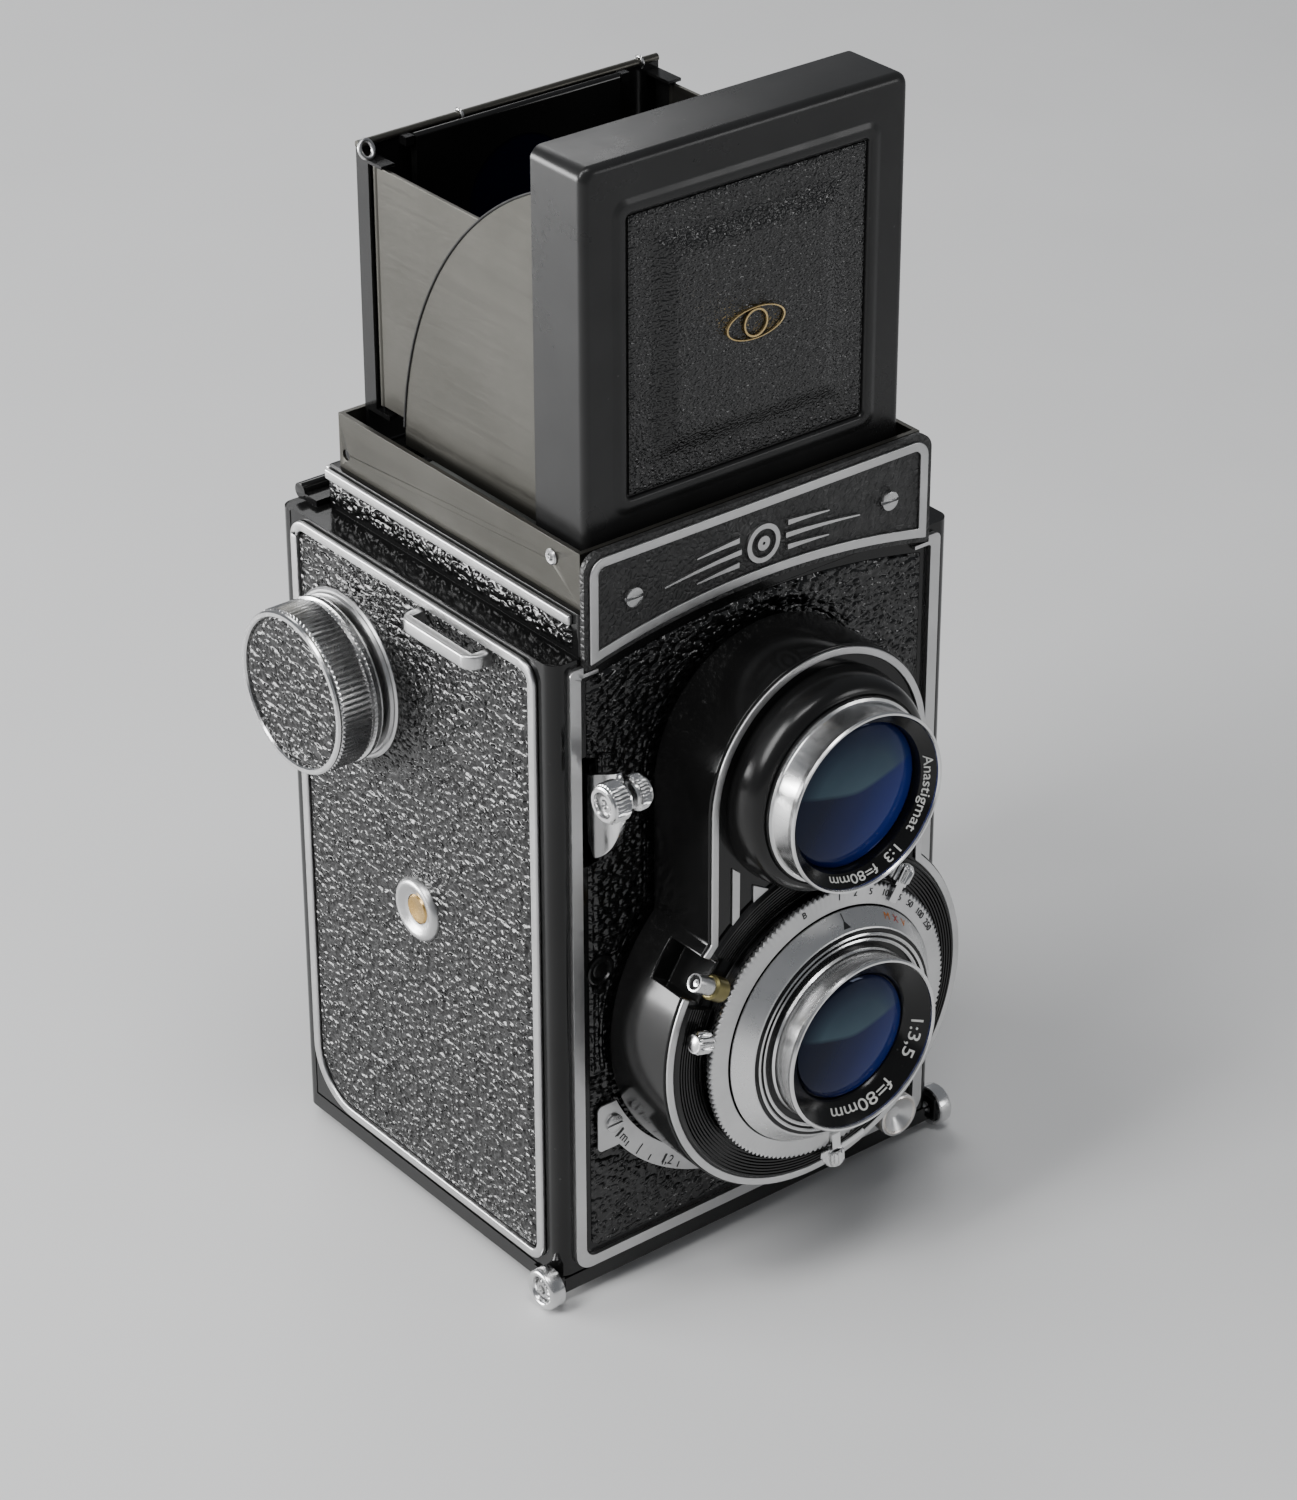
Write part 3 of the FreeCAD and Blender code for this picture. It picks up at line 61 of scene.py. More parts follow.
def span(node):
    """The lowest and highest corner of a CAD node, in millimetres."""
    low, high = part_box(node)
    return low / MM, high / MM


def middle(node):
    low, high = span(node)
    return (low + high) / 2


# ---------------------------------------------------------------- materials

class Finish:
    """A Principled material put together node by node."""

    def __init__(self, name, **sockets):
        self.material = bpy.data.materials.new(name)
        self.material.use_nodes = True
        self.tree = self.material.node_tree
        self.surface = self.tree.nodes["Principled BSDF"]
        for socket, value in sockets.items():
            self.surface.inputs[socket.replace("_", " ")].default_value = value
        self.place = self.tree.nodes.new("ShaderNodeTexCoord").outputs["Object"]

    def add(self, kind, settings=None, **links):
        node = self.tree.nodes.new(kind)
        for key, value in (settings or {}).items():
            setattr(node, key, value)
        for socket, value in links.items():
            self.put(node.inputs[socket.replace("_", " ")], value)
        return node

    def put(self, socket, value):
        if isinstance(value, bpy.types.NodeSocket):
            self.tree.links.new(value, socket)
        else:
            socket.default_value = value

    def stretched(self, stretch):
        return self.add("ShaderNodeMapping", Vector=self.place, Scale=stretch).outputs["Vector"]

    def noise(self, scale, detail=3.0, stretch=(1, 1, 1), roughness=0.5):
        return self.add("ShaderNodeTexNoise", Vector=self.stretched(stretch), Scale=scale, Detail=detail,
                        Roughness=roughness).outputs["Fac"]

    def cells(self, scale, stretch=(1, 1, 1), feature="F1"):
        return self.add("ShaderNodeTexVoronoi", {"feature": feature}, Vector=self.stretched(stretch),
                        Scale=scale).outputs["Distance"]

    def spread(self, value, low, high, near=0.3, far=0.7):
        """The value, stretched from near..far to low..high."""
        node = self.add("ShaderNodeMapRange", Value=value)
        for socket, number in (("From Min", near), ("From Max", far), ("To Min", low), ("To Max", high)):
            node.inputs[socket].default_value = number
        return node.outputs["Result"]

    def math(self, operation, first, second):
        node = self.tree.nodes.new("ShaderNodeMath")
        node.operation = operation
        self.put(node.inputs[0], first)
        self.put(node.inputs[1], second)
        return node.outputs[0]

    def ramp(self, value, *stops):
        node = self.add("ShaderNodeValToRGB", Fac=value)
        ends = node.color_ramp.elements
        while len(ends) < len(stops):
            ends.new(0.5)
        for end, (at, colour) in zip(ends, stops):
            end.position = at
            end.color = (*colour, 1)
        return node.outputs["Color"]

    def mix(self, share, first, second):
        node = self.add("ShaderNodeMix", {"data_type": "RGBA"})
        for index, value in ((0, share), (6, first), (7, second)):
            self.put(node.inputs[index], value)
        return node.outputs[2]

    def colour(self, value):
        self.put(self.surface.inputs["Base Color"], value)

    def rough(self, value):
        self.put(self.surface.inputs["Roughness"], value)

    def bump(self, height, strength, distance):
        """Another layer of bump over any that is there."""
        under = self.surface.inputs["Normal"]
        node = self.add("ShaderNodeBump", Height=height, Strength=strength, Distance=distance * MM)
        if under.links:
            self.tree.links.new(under.links[0].from_socket, node.inputs["Normal"])
        self.tree.links.new(node.outputs["Normal"], under)


def grey(level, warm=0.0):
    return (level * (1 + warm), level, level * (1 - warm))


def enamel(name, level=0.004, gloss=0.07):
    """Gloss black stove enamel with faint orange peel, hairline wear and a few grains of dust."""
    made = Finish(name, IOR=1.45, Specular_IOR_Level=0.4)
    dust = made.spread(made.cells(420), 1.0, 0.0, 0.03, 0.08)
    dusty = made.spread(made.noise(35, 2), 0, 0.3, 0.5, 0.75)
    base = made.ramp(made.noise(60, 4), (0.3, grey(level)), (0.75, grey(level * 2.0)))
    made.colour(made.mix(made.math("MULTIPLY", dust, dusty), base, (0.3, 0.3, 0.3, 1)))
    made.rough(made.spread(made.noise(45, 5, roughness=0.7), gloss, gloss + 0.12))
    made.bump(made.noise(700, 2), 0.06, 0.05)
    return made.material


def leatherette(name, grain=820, stretch=(1, 1, 1.55), level=0.004, relief=0.5):
    """Glossy black leatherette: the mesh has the wrinkles, and this has the beads on them."""
    made = Finish(name, IOR=1.5, Specular_IOR_Level=0.5)
    beads = made.cells(grain, stretch, "SMOOTH_F1")
    # painted shade: the colour is darker in the grooves between the beads than on their crowns
    made.colour(made.ramp(beads, (0.15, grey(level * 2.4)), (0.75, grey(level * 0.2))))
    made.rough(made.spread(made.noise(grain * 0.35, 5, stretch, 0.7), 0.07, 0.2))
    made.bump(made.math("SUBTRACT", 1.0, beads), 1.0, relief * 1.6)
    made.bump(made.noise(grain * 2.2, 3, stretch, 0.65), 0.2, relief * 0.2)
    return made.material


def metal(name, tone, low, high, streak=(1, 1, 1), scale=500, bump=0.05, warm=0.0, tints=None):
    """Bare metal with a brushed or blasted grain, a tone that drifts a little, and fine wear."""
    made = Finish(name, Metallic=1.0)
    dark, light = tints or (grey(tone * 0.86, warm), grey(tone * 1.05, warm))
    made.colour(made.ramp(made.noise(90, 5), (0.3, dark), (0.7, light)))
    fine = made.noise(scale, 4, streak, 0.7)
    made.rough(made.spread(fine, low, high))
    made.bump(fine, bump, 0.05)
    return made.material


def turned_metal(name, tone, low, high):
    """Metal turned on a lathe: fine rings round the taking axis that stretch each highlight."""
    made = Finish(name, Metallic=1.0, Anisotropic=0.7)
    made.colour(made.ramp(made.noise(70, 4), (0.3, grey(tone * 0.94)), (0.7, grey(tone))))
    made.rough(made.spread(made.noise(500, 4), low, high))
    rings = made.add("ShaderNodeTangent", {"direction_type": "RADIAL", "axis": "Y"})
    made.put(made.surface.inputs["Tangent"], rings.outputs["Tangent"])
    return made.material


def crackle(name):
    """Wrinkle-finish black paint."""
    made = Finish(name, IOR=1.5, Specular_IOR_Level=0.5)
    made.colour(made.ramp(made.noise(600, 4), (0.3, grey(0.008)), (0.7, grey(0.022))))
    made.rough(made.spread(made.noise(900, 3), 0.34, 0.55))
    made.bump(made.spread(made.cells(950, feature="DISTANCE_TO_EDGE"), 0, 1, 0.0, 0.25), 0.8, 0.12)
    made.bump(made.noise(2600, 2), 0.3, 0.05)
    return made.material


def hood_paint(name):
    """Thin dark sheet, satin lacquered, with the fine scratches that the folding leaves rub in it."""
    made = Finish(name, Metallic=0.85, Specular_IOR_Level=0.5)
    made.colour(made.ramp(made.noise(40, 5), (0.3, (0.060, 0.058, 0.050)), (0.75, (0.092, 0.089, 0.079))))
    brushed = made.noise(260, 5, (1, 0.12, 6), 0.7)
    made.rough(made.spread(brushed, 0.30, 0.44))
    made.bump(brushed, 0.10, 0.04)
    scratch = made.spread(made.noise(70, 2, (1, 1.2, 9)), 0, 1, 0.66, 0.69)
    made.bump(scratch, 0.06, 0.03)
    return made.material


def glass(name, blue, reach, middle_at):
    """A coated lens seen from above, its colour painted: a painted reflection of pale light in its upper half, over a
    dark blue with painted shade that darkens it to the left and a painted reflection that brightens it to the lower
    right.
    """
    made = Finish(name, IOR=1.45, Specular_IOR_Level=0.3, Specular_Tint=(0.6, 0.7, 1.0, 1))
    shift = made.add("ShaderNodeVectorMath", {"operation": "SUBTRACT"})
    made.put(shift.inputs[0], made.place)
    made.put(shift.inputs[1], tuple(value * MM for value in middle_at))
    from_middle = shift.outputs["Vector"]
    parts = made.add("ShaderNodeSeparateXYZ", Vector=from_middle)
    across, up = parts.outputs["X"], parts.outputs["Z"]
    size = made.add("ShaderNodeVectorMath", {"operation": "LENGTH"})
    made.put(size.inputs[0], from_middle)
    distance = size.outputs["Value"]
    # painted shade and painted reflection: the blue is painted dark towards the upper left and full towards the lower
    # right
    sideways = made.math("SUBTRACT", made.math("MULTIPLY", across, 0.8), made.math("MULTIPLY", up, 0.5))
    blue_with_painted_shade = made.ramp(made.spread(sideways, 0, 1, -reach * 0.55 * MM, reach * 0.8 * MM),
                     (0.1, tuple(0.08 * c for c in blue)), (0.5, tuple(0.4 * c for c in blue)), (0.9, blue))
    cloudy = made.math("MULTIPLY", made.noise(90, 3), 0.3)
    # painted reflection: pale light from above painted into the upper half, behind a bowed edge, faded near the rim
    painted_reflection = made.ramp(made.math("ADD", made.spread(up, 0, 0.8, -0.004, reach * MM), cloudy),
                    (0.15, (0.085, 0.15, 0.17)), (0.55, (0.04, 0.075, 0.095)), (0.95, (0.006, 0.01, 0.03)))
    bowed = made.math("SUBTRACT", up, made.math("MULTIPLY", distance, 0.22))
    reflection_edge = made.spread(bowed, 0.0, 1.0, 0.0002, 0.0009)
    inside = made.spread(made.spread(distance, 0, 1, 0, reach * MM), 0.9, 0.0, 0.62, 0.97)
    made.colour(made.mix(made.math("MULTIPLY", reflection_edge, inside), blue_with_painted_shade, painted_reflection))
    made.rough(made.spread(made.noise(200, 2), 0.02, 0.05))
    return made.material


def ground_glass(name):
    made = Finish(name, IOR=1.5, Coat_Weight=0.4, Coat_Roughness=0.1)
    made.colour(made.ramp(made.noise(30, 3), (0.3, (0.16, 0.17, 0.16)), (0.7, (0.24, 0.25, 0.24))))
    made.rough(made.spread(made.noise(2500, 2), 0.4, 0.6))
    made.bump(made.noise(3000, 2), 0.2, 0.03)
    return made.material


def matte(name, level=0.012):
    made = Finish(name, IOR=1.45, Specular_IOR_Level=0.35)
    made.colour(made.ramp(made.noise(300, 4), (0.3, grey(level * 0.7)), (0.7, grey(level * 1.5))))
    made.rough(made.spread(made.noise(500, 3), 0.55, 0.75))
    made.bump(made.noise(1500, 3), 0.25, 0.05)
    return made.material


def ink(name, colour):
    """Engraving filled with paint."""
    made = Finish(name, IOR=1.5)
    made.colour(made.ramp(made.noise(800, 3), (0.3, tuple(c * 0.8 for c in colour)), (0.7, colour)))
    made.rough(made.spread(made.noise(600, 2), 0.35, 0.55))
    return made.material


LOOKS = {
    "black_enamel": enamel("black_enamel"),
    "black_crackle": crackle("black_crackle"),
    "leatherette": leatherette("leatherette"),
    "satin_trim": metal("satin_trim", 0.56, 0.28, 0.42, scale=900, bump=0.10),
    "chrome": metal("chrome", 0.70, 0.10, 0.24, scale=400, bump=0.03),
    "knurled_chrome": metal("knurled_chrome", 0.68, 0.14, 0.30),
    "hood_sheet": hood_paint("hood_sheet"),
    # the glass colour is a painted reflection over a blue with painted shade
    "glass": glass("glass", (0.008, 0.02, 0.14), 12, (0, -50, 46)),
    "mirror": metal("mirror", 0.9, 0.01, 0.03, scale=200, bump=0.0),
    "screen_glass": ground_glass("screen_glass"),
    "brass": metal("brass", 0.5, 0.2, 0.34, scale=600, tints=((0.44, 0.27, 0.09), (0.68, 0.46, 0.18))),
    "matte_black": matte("matte_black"),
    "steel": metal("steel", 0.55, 0.22, 0.36, bump=0.08),
}
FINE_LEATHER = leatherette("fine_leather", 2100, level=0.006, relief=0.14)
LID_BLACK = enamel("lid_black", 0.009, 0.24)
WHITE_INK = ink("white_ink", (0.78, 0.78, 0.74))
BLACK_INK = ink("black_ink", (0.015, 0.015, 0.016))
RED_INK = ink("red_ink", (0.55, 0.04, 0.02))
AMBER_INK = ink("amber_ink", (0.70, 0.22, 0.02))
OLD_BRASS = metal("old_brass", 0.3, 0.35, 0.5, scale=700, tints=((0.16, 0.14, 0.06), (0.36, 0.31, 0.15)))
GOLD = metal("gold_line", 0.5, 0.3, 0.4, scale=900, tints=((0.50, 0.36, 0.16), (0.70, 0.54, 0.28)))
CASE_BLACK = enamel("case_black", 0.005, 0.16)
CUP_METAL = metal("cup_metal", 0.62, 0.24, 0.36, scale=300, warm=0.06)
SATIN_FACE = metal("satin_face", 0.60, 0.30, 0.40, scale=1200, bump=0.06)
FACE_METAL = turned_metal("face_metal", 0.68, 0.26, 0.30)

# ---------------------------------------------------------------- mesh helpers


def place_in(facing, at, u, v, h):
    right, up, out = FACES[facing]
    return Vector(at) + right * u + up * v + out * h


def quads(rows, columns, wrap_rows=False, wrap_columns=False):
    """Faces for a grid of points listed row by row, joined up where it wraps round."""
    faces = []
    for row in range(rows if wrap_rows else rows - 1):
        one, two = row * columns, (row + 1) % rows * columns
        for step in range(columns if wrap_columns else columns - 1):
            ahead = (step + 1) % columns
            faces.append((one + step, one + ahead, two + ahead, two + step))
    return faces


def around(steps):
    """Equal steps of a full turn."""
    return [2 * math.pi * step / steps for step in range(steps)]


def piece(name, points, faces, look, body, replaces=(), sharp=32, bevel=0.0):
    """A mesh piece from points in millimetres, smooth but for its sharp edges."""
    mesh = bpy.data.meshes.new(name)
    mesh.from_pydata([tuple(Vector(point) * MM) for point in points], [], faces)
    mesh.validate()
    tidy = bmesh.new()
    tidy.from_mesh(mesh)
    bmesh.ops.remove_doubles(tidy, verts=tidy.verts, dist=1e-7)
    bmesh.ops.recalc_face_normals(tidy, faces=tidy.faces)
    tidy.to_mesh(mesh)
    tidy.free()
    mesh.shade_smooth()
    mesh.set_sharp_from_angle(angle=math.radians(sharp))
    mesh.materials.append(look)
    made = bpy.data.objects.new(name, mesh)
    bpy.context.scene.collection.objects.link(made)
    if bevel:
        soften(made, bevel)
    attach(made, body)
    if replaces:
        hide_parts(*replaces)
    return made


def soften(item, width):
    """Round the sharp edges a little, as a real casting or pressing has them."""
    weld = item.modifiers.new("Weld", "WELD")
    weld.merge_threshold = 1e-6
    bevel = item.modifiers.new("Bevel", "BEVEL")
    bevel.width = width * MM
    bevel.segments = 2
    bevel.limit_method = "ANGLE"
    bevel.angle_limit = math.radians(30)
    bevel.use_clamp_overlap = True
    normals = item.modifiers.new("Normals", "WEIGHTED_NORMAL")
    normals.weight = 100


def lathe(name, facing, at, rows, look, body, replaces=(), steps=144, sharp=32, closed=True):
    """A turned piece. A row is (radius, height) or (radius, height, teeth, depth) for a knurled one."""
    points = []
    for radius, height, *knurl in rows:
        teeth, depth = knurl or (0, 0)
        for turn in around(steps):
            wave = abs(((turn * teeth / (2 * math.pi)) % 1) * 2 - 1) if teeth else 0
            reach = radius - depth * wave
            points.append(place_in(facing, at, reach * math.cos(turn), reach * math.sin(turn), height))
    return piece(name, points, quads(len(rows), steps, closed, True), look, body, replaces, sharp)


def pebbles(across, along, seed=0.0):
    """Wrinkled leather grain: long cells with grooves between them, 0 in a groove to 1 on a pebble."""
    def height(u, v):
        warp = noise.noise(Vector((u * 0.8, v * 0.8, seed + 3))) * 0.7
        warp_v = noise.noise(Vector((u * 0.6, v * 0.6, seed + 9))) * 0.7
        spots = noise.voronoi(Vector(((u + warp) / across, (v + warp_v) / along, seed)))[0]
        ridge = min(1.0, max(0.0, (spots[1] - spots[0]) * 2.2))
        swell = 0.75 + 0.35 * noise.noise(Vector((u * 0.5, v * 0.8, seed + 5)))
        return ridge ** 0.7 * swell
    return height


def skin(name, facing, at, rows_from, rows_to, left, right, lift, look, body, replaces=(), pitch=0.45):
    """A sheet of grained covering: rows of points between two edges, lifted by a height function."""
    tall = rows_to - rows_from
    count_v = max(2, round(tall / pitch))
    widest = max(right(rows_from + tall * i / 16) - left(rows_from + tall * i / 16) for i in range(17))
    count_u = max(2, round(widest / pitch))
    points = []
    for j in range(count_v + 1):
        v = rows_from + tall * j / count_v
        near, far = left(v), right(v)
        for i in range(count_u + 1):
            u = near + (far - near) * i / count_u
            points.append(place_in(facing, at, u, v, lift(u, v)))
    wide = count_u + 1
    faces = quads(count_v + 1, wide)
    rim = [*range(wide), *(j * wide + count_u for j in range(1, count_v + 1)),
           *(count_v * wide + i for i in range(count_u - 1, -1, -1)), *(j * wide for j in range(count_v - 1,
                                                                                                0, -1))]
    out = FACES[facing][2]
    base = len(points)
    flat = Vector(at).dot(out) + 0.02
    for index in rim:
        spot = points[index]
        points.append(spot - out * (spot.dot(out) - flat))
    for k, corner in enumerate(rim):
        ahead = (k + 1) % len(rim)
        faces.append((corner, base + k, base + ahead, rim[ahead]))
    return piece(name, points, faces, look, body, replaces, sharp=60)


def ramped(value, low, high):
    part = min(1.0, max(0.0, (value - low) / (high - low)))
    return part * part * (3 - 2 * part)


def lettering(name, text, size, look, body, bend, depth=0.05, wide=1.0):
    """Text as a mesh, each point sent through bend(across, up, out), across from the text's middle."""
    curve = bpy.data.curves.new(name, "FONT")
    curve.body = text
    curve.size = size
    curve.extrude = depth / 2
    curve.align_x = "CENTER"
    holder = bpy.data.objects.new(name, curve)
    bpy.context.scene.collection.objects.link(holder)
    bpy.context.view_layer.update()
    mesh = bpy.data.meshes.new_from_object(holder)
    points = [bend(vertex.co.x * wide, vertex.co.y, vertex.co.z + depth / 2) for vertex in mesh.vertices]
    faces = [tuple(polygon.vertices) for polygon in mesh.polygons]
    bpy.data.objects.remove(holder)
    bpy.data.curves.remove(curve)
    bpy.data.meshes.remove(mesh)
    return piece(name, points, faces, look, body)


def round_ring(facing, at, radius, middle_angle, height, slope=0.0, inward=False):
    """A bend for lettering that runs clockwise round an axis with its tops outward, or the other way."""
    def bend(across, up, out):
        if inward:
            angle = middle_angle + across / radius
            reach = radius - up
        else:
            angle = middle_angle - across / radius
            reach = radius + up / math.hypot(1, slope)
        return place_in(facing, at, reach * math.cos(angle), reach * math.sin(angle),
                        height + (reach - radius) * slope + out)
    return bend


# ---------------------------------------------------------------- the CAD nodes that stay

SOFT_EDGES = {
    "body_shell": 0.5, "body_trims": 0.25, "front_trim": 0.22, "name_plate": 0.3, "name_plate_trim": 0.12,
    "top_rim": 0.5, "hood_base_frame": 0.22, "lens_housing": 0.7, "housing_trim": 0.16, "back_door": 0.4,
    "strap_lugs": 0.4, "release_lever": 0.2, "back_panel": 0.15, "lid_wings": 0.12, "rear_leaf_left": 0.12,
    "rear_leaf_right": 0.12, "screen_frame": 0.2, "magnifier_frame": 0.2, "panel_screws": 0.1, "sync_post": 0.15,
    "focus_lever": 0.12, "focus_scale": 0.06, "tripod_bush": 0.2, "shutter_case": 0.12,
}
for label, node in NODES.items():
    wanted = LOOKS[node.material_slots[0].material.name]
    node.material_slots[0].material = wanted
    if label in SOFT_EDGES:
        soften(node, SOFT_EDGES[label])

# ---------------------------------------------------------------- leather panels

def outline(left, right, low, high, radii):
    """Left and right edge of a rounded panel at a height.

    The corner radii are low left, low right, high right, high left.
    """
    def inset(v, lower, upper):
        if v < low + lower:
            return lower - math.sqrt(max(0.0, lower ** 2 - (low + lower - v) ** 2))
        if v > high - upper:
            return upper - math.sqrt(max(0.0, upper ** 2 - (v - high + upper) ** 2))
        return 0.0
    return (lambda v: left + inset(v, radii[0], radii[3]), lambda v: right - inset(v, radii[1], radii[2]))


def panel_edge(u, v, left, right, low, high, radii):
    """How far inside a rounded panel a point is."""
    lower, upper = (0, 3) if u < (left + right) / 2 else (1, 2)
    radius = radii[lower if v < (low + high) / 2 else upper]
    across = abs(u - (left + right) / 2) - (right - left) / 2 + radius
    along = abs(v - (low + high) / 2) - (high - low) / 2 + radius
    return radius - math.hypot(max(across, 0), max(along, 0)) - min(max(across, along), 0)


SKIN = 0.42    # thickness of the leatherette
GRAIN = 0.34   # how far its pebbles stand up


def pressed(gap, grain_height, border=0.9):
    """Height of a covering near its edge: tucked down at the rim, a pressed line inside it, then full."""
    rise = ramped(gap, -0.05, 0.45)
    line = 1 - ramped(abs(gap - border), 0.12, 0.4)
    cover = ramped(gap, border * 0.6, border + 0.6)
    return 0.06 + (SKIN - 0.06) * rise - 0.12 * line + GRAIN * grain_height * cover


def covering(name, facing, at, left, right, low, high, radii, body, grain, pitch=0.45, replaces=(),
             border=0.9):
    near, far = outline(left, right, low, high, radii)

    def lift(u, v):
        return pressed(panel_edge(u, v, left, right, low, high, radii), grain(u, v), border)
    return skin(name, facing, at, low, high, near, far, lift, LOOKS["leatherette"], body, replaces, pitch)


shell_low, shell_high = span("body_shell")
trim_low, trim_high = span("body_trims")
rim_high = span("top_rim")[1]
SIDE = shell_high.x
FRONT = shell_low.y
TRIM_WIDE = 1.7
SIDE_BACK, SIDE_LOW, SIDE_TOP = trim_high.y, trim_low.z, 111.6
HEEL, CORNER = 8.4, 1.8   # radii of the panel's low rear corner and of the others
grain = pebbles(1.35, 0.8)
side_left, side_right = -SIDE_BACK + TRIM_WIDE, SIDE_BACK - TRIM_WIDE
covering("side_leather_left", "left", (-SIDE, 0, 0), side_left, side_right, SIDE_LOW + TRIM_WIDE,
         SIDE_TOP - TRIM_WIDE, (HEEL, CORNER, CORNER, CORNER), "camera_body", grain, 0.42, ("body_leathers",))
covering("side_leather_right", "right", (SIDE, 0, 0), side_left, side_right, SIDE_LOW + TRIM_WIDE,
         SIDE_TOP - TRIM_WIDE, (CORNER, HEEL, CORNER, CORNER), "camera_body", grain, 0.5)
BAND_LOW, BAND_HIGH = 113.2, 117.1
for side, across in (("left", -rim_high.x), ("right", rim_high.x)):
    ends = (-27.7, 32.4) if side == "left" else (-32.4, 27.7)
    covering(f"rim_leather_{side}", side, (across, 0, 0), *ends, BAND_LOW, BAND_HIGH, (0.4,) * 4,
             "camera_body",
             pebbles(1.1, 0.7, 5), 0.4, border=0.5)
covering("rim_leather_rear", "rear", (0, rim_high.y, 0), -32.6, 32.6, BAND_LOW, BAND_HIGH, (0.4,) * 4,
         "camera_body",
         pebbles(1.1, 0.7, 7), 0.5, border=0.5)

door_low, door_high = span("door_leather")
covering("back_leather", "rear", (0, door_low.y, 0), door_low.x, door_high.x, door_low.z, door_high.z,
         (3, 3, 2, 2),
         "door", pebbles(1.3, 0.8, 11), 0.55, ("door_leather",))

# the front covering runs in two halves round the lens board's opening, under the name plate's arch
front_low, front_high = span("front_leather")
VIEW, TAKE = middle("viewing_barrel"), middle("taking_barrel")
housing_low, housing_high = span("lens_housing")
LOBE, ARCH = housing_high.x, housing_high.z - VIEW.z
OPENING = 2.0
PLATE_ARCH = 134.4
PLATE_CENTRE = front_high.z - PLATE_ARCH


def opening_half(v, shrink=OPENING):
    """Half the width of the opening behind the lens board at a height."""
    lobe, arch = LOBE - shrink, ARCH - shrink
    wide = 0.0
    if abs(v - TAKE.z) < lobe:
        wide = math.sqrt(lobe ** 2 - (v - TAKE.z) ** 2)
    if TAKE.z <= v <= VIEW.z:
        wide = max(wide, arch)
    elif VIEW.z < v < VIEW.z + arch:
        wide = max(wide, math.sqrt(arch ** 2 - (v - VIEW.z) ** 2))
    return wide


def keyhole_gap(u, v):
    """How far a point is outside the lens board's outline."""
    lobe = math.hypot(u, v - TAKE.z) - LOBE
    arch = math.hypot(u, max(v - VIEW.z, 0)) - ARCH if v > TAKE.z else lobe
    return min(lobe, arch)


SLOT_LOW, SLOT_HIGH, SLOT_INNER = 77.4, 96.0, 29.9
SCALE_FROM, SCALE_TO, SCALE_OUT = math.radians(190), math.radians(256), 33.5
TAB_LOW, TAB_HIGH = 26.0, 34.3
SWEEP_NEAR, SWEEP_FAR, SWEEP_TOP = 27, 42, 36
LEVER_CLEAR = 0.58
BOSS_ACROSS, BOSS_HIGH = -29.9, 58.6
front_grain = pebbles(1.25, 0.8, 21)


def front_height(u, v):
    """Height of the front covering, pressed down at its edges and bare under the slot, scale and boss."""
    top = PLATE_CENTRE + math.sqrt(PLATE_ARCH ** 2 - u * u)
    gap = min(front_high.x - abs(u), v - front_low.z, top - v)
    if u < 0 and SLOT_LOW - 1 < v < SLOT_HIGH + 1:
        gap = min(gap, max(u + SLOT_INNER + 0.1, SLOT_LOW - v, v - SLOT_HIGH))
    grain_height = front_grain(u, v)
    height = pressed(gap, grain_height)
    angle = math.atan2(v - TAKE.z, u) % (2 * math.pi)
    reach = math.hypot(u, v - TAKE.z)
    if SCALE_FROM < angle < SCALE_TO:
        bare_gap = reach - SCALE_OUT - 1.2
        if u < -20:
            bare_gap = min(bare_gap, max(TAB_LOW - 1.6 - v, v - TAB_HIGH - 2.2))
        height = min(height, pressed(bare_gap, grain_height))
    if SWEEP_NEAR < reach < SWEEP_FAR and v < SWEEP_TOP:
        height = min(height, LEVER_CLEAR)
    boss_gap = math.hypot(u - BOSS_ACROSS, v - BOSS_HIGH) - 2.6
    height = min(height, pressed(boss_gap, grain_height, 0.7))
    if keyhole_gap(u, v) <= 0:
        return 0.1
    return min(height, pressed(keyhole_gap(u, v) - 0.2, grain_height, 0.8))


def bowed(u, v):
    """Bend the top rows to the name plate's arch."""
    drop = PLATE_ARCH - math.sqrt(PLATE_ARCH ** 2 - u * u)
    return v - drop * ramped(v, 92, front_high.z)


FRONT_ROWS, FRONT_COLUMNS, FRONT_CORNER = 250, 76, 1.6
for side, sign in (("left", -1), ("right", 1)):
    points = []
    for j in range(FRONT_ROWS + 1):
        v = front_low.z + (front_high.z - front_low.z) * j / FRONT_ROWS
        outer = front_high.x
        if v < front_low.z + FRONT_CORNER:
            outer -= FRONT_CORNER - math.sqrt(max(0.0,
                                                  FRONT_CORNER ** 2 - (front_low.z + FRONT_CORNER - v) ** 2))
        if side == "left" and SLOT_LOW < v < SLOT_HIGH:
            outer = SLOT_INNER
        near, far = sorted((sign * outer, sign * opening_half(v)))
        for i in range(FRONT_COLUMNS + 1):
            u = near + (far - near) * i / FRONT_COLUMNS
            w = bowed(u, v)
            points.append(place_in("front", (0, FRONT, 0), u, w, front_height(u, w)))
    piece(f"front_leather_{side}", points, quads(FRONT_ROWS + 1, FRONT_COLUMNS + 1), LOOKS["leatherette"],
          "camera_body", ("front_leather",) if side == "left" else (), sharp=60)

# ---------------------------------------------------------------- lathe work round the two lenses

BOARD = housing_low.y
VIEW_AT, TAKE_AT = (0, BOARD, VIEW.z), (0, BOARD, TAKE.z)
VIEW_DEPTH = BOARD - span("viewing_barrel")[0].y
TAKE_DEPTH = BOARD - span("taking_barrel")[0].y
GROOVE_BLACK = enamel("groove_black", 0.003, 0.12)
BRUSHED = metal("brushed_rim", 0.74, 0.18, 0.28, (1, 0.06, 1), 900, 0.03)

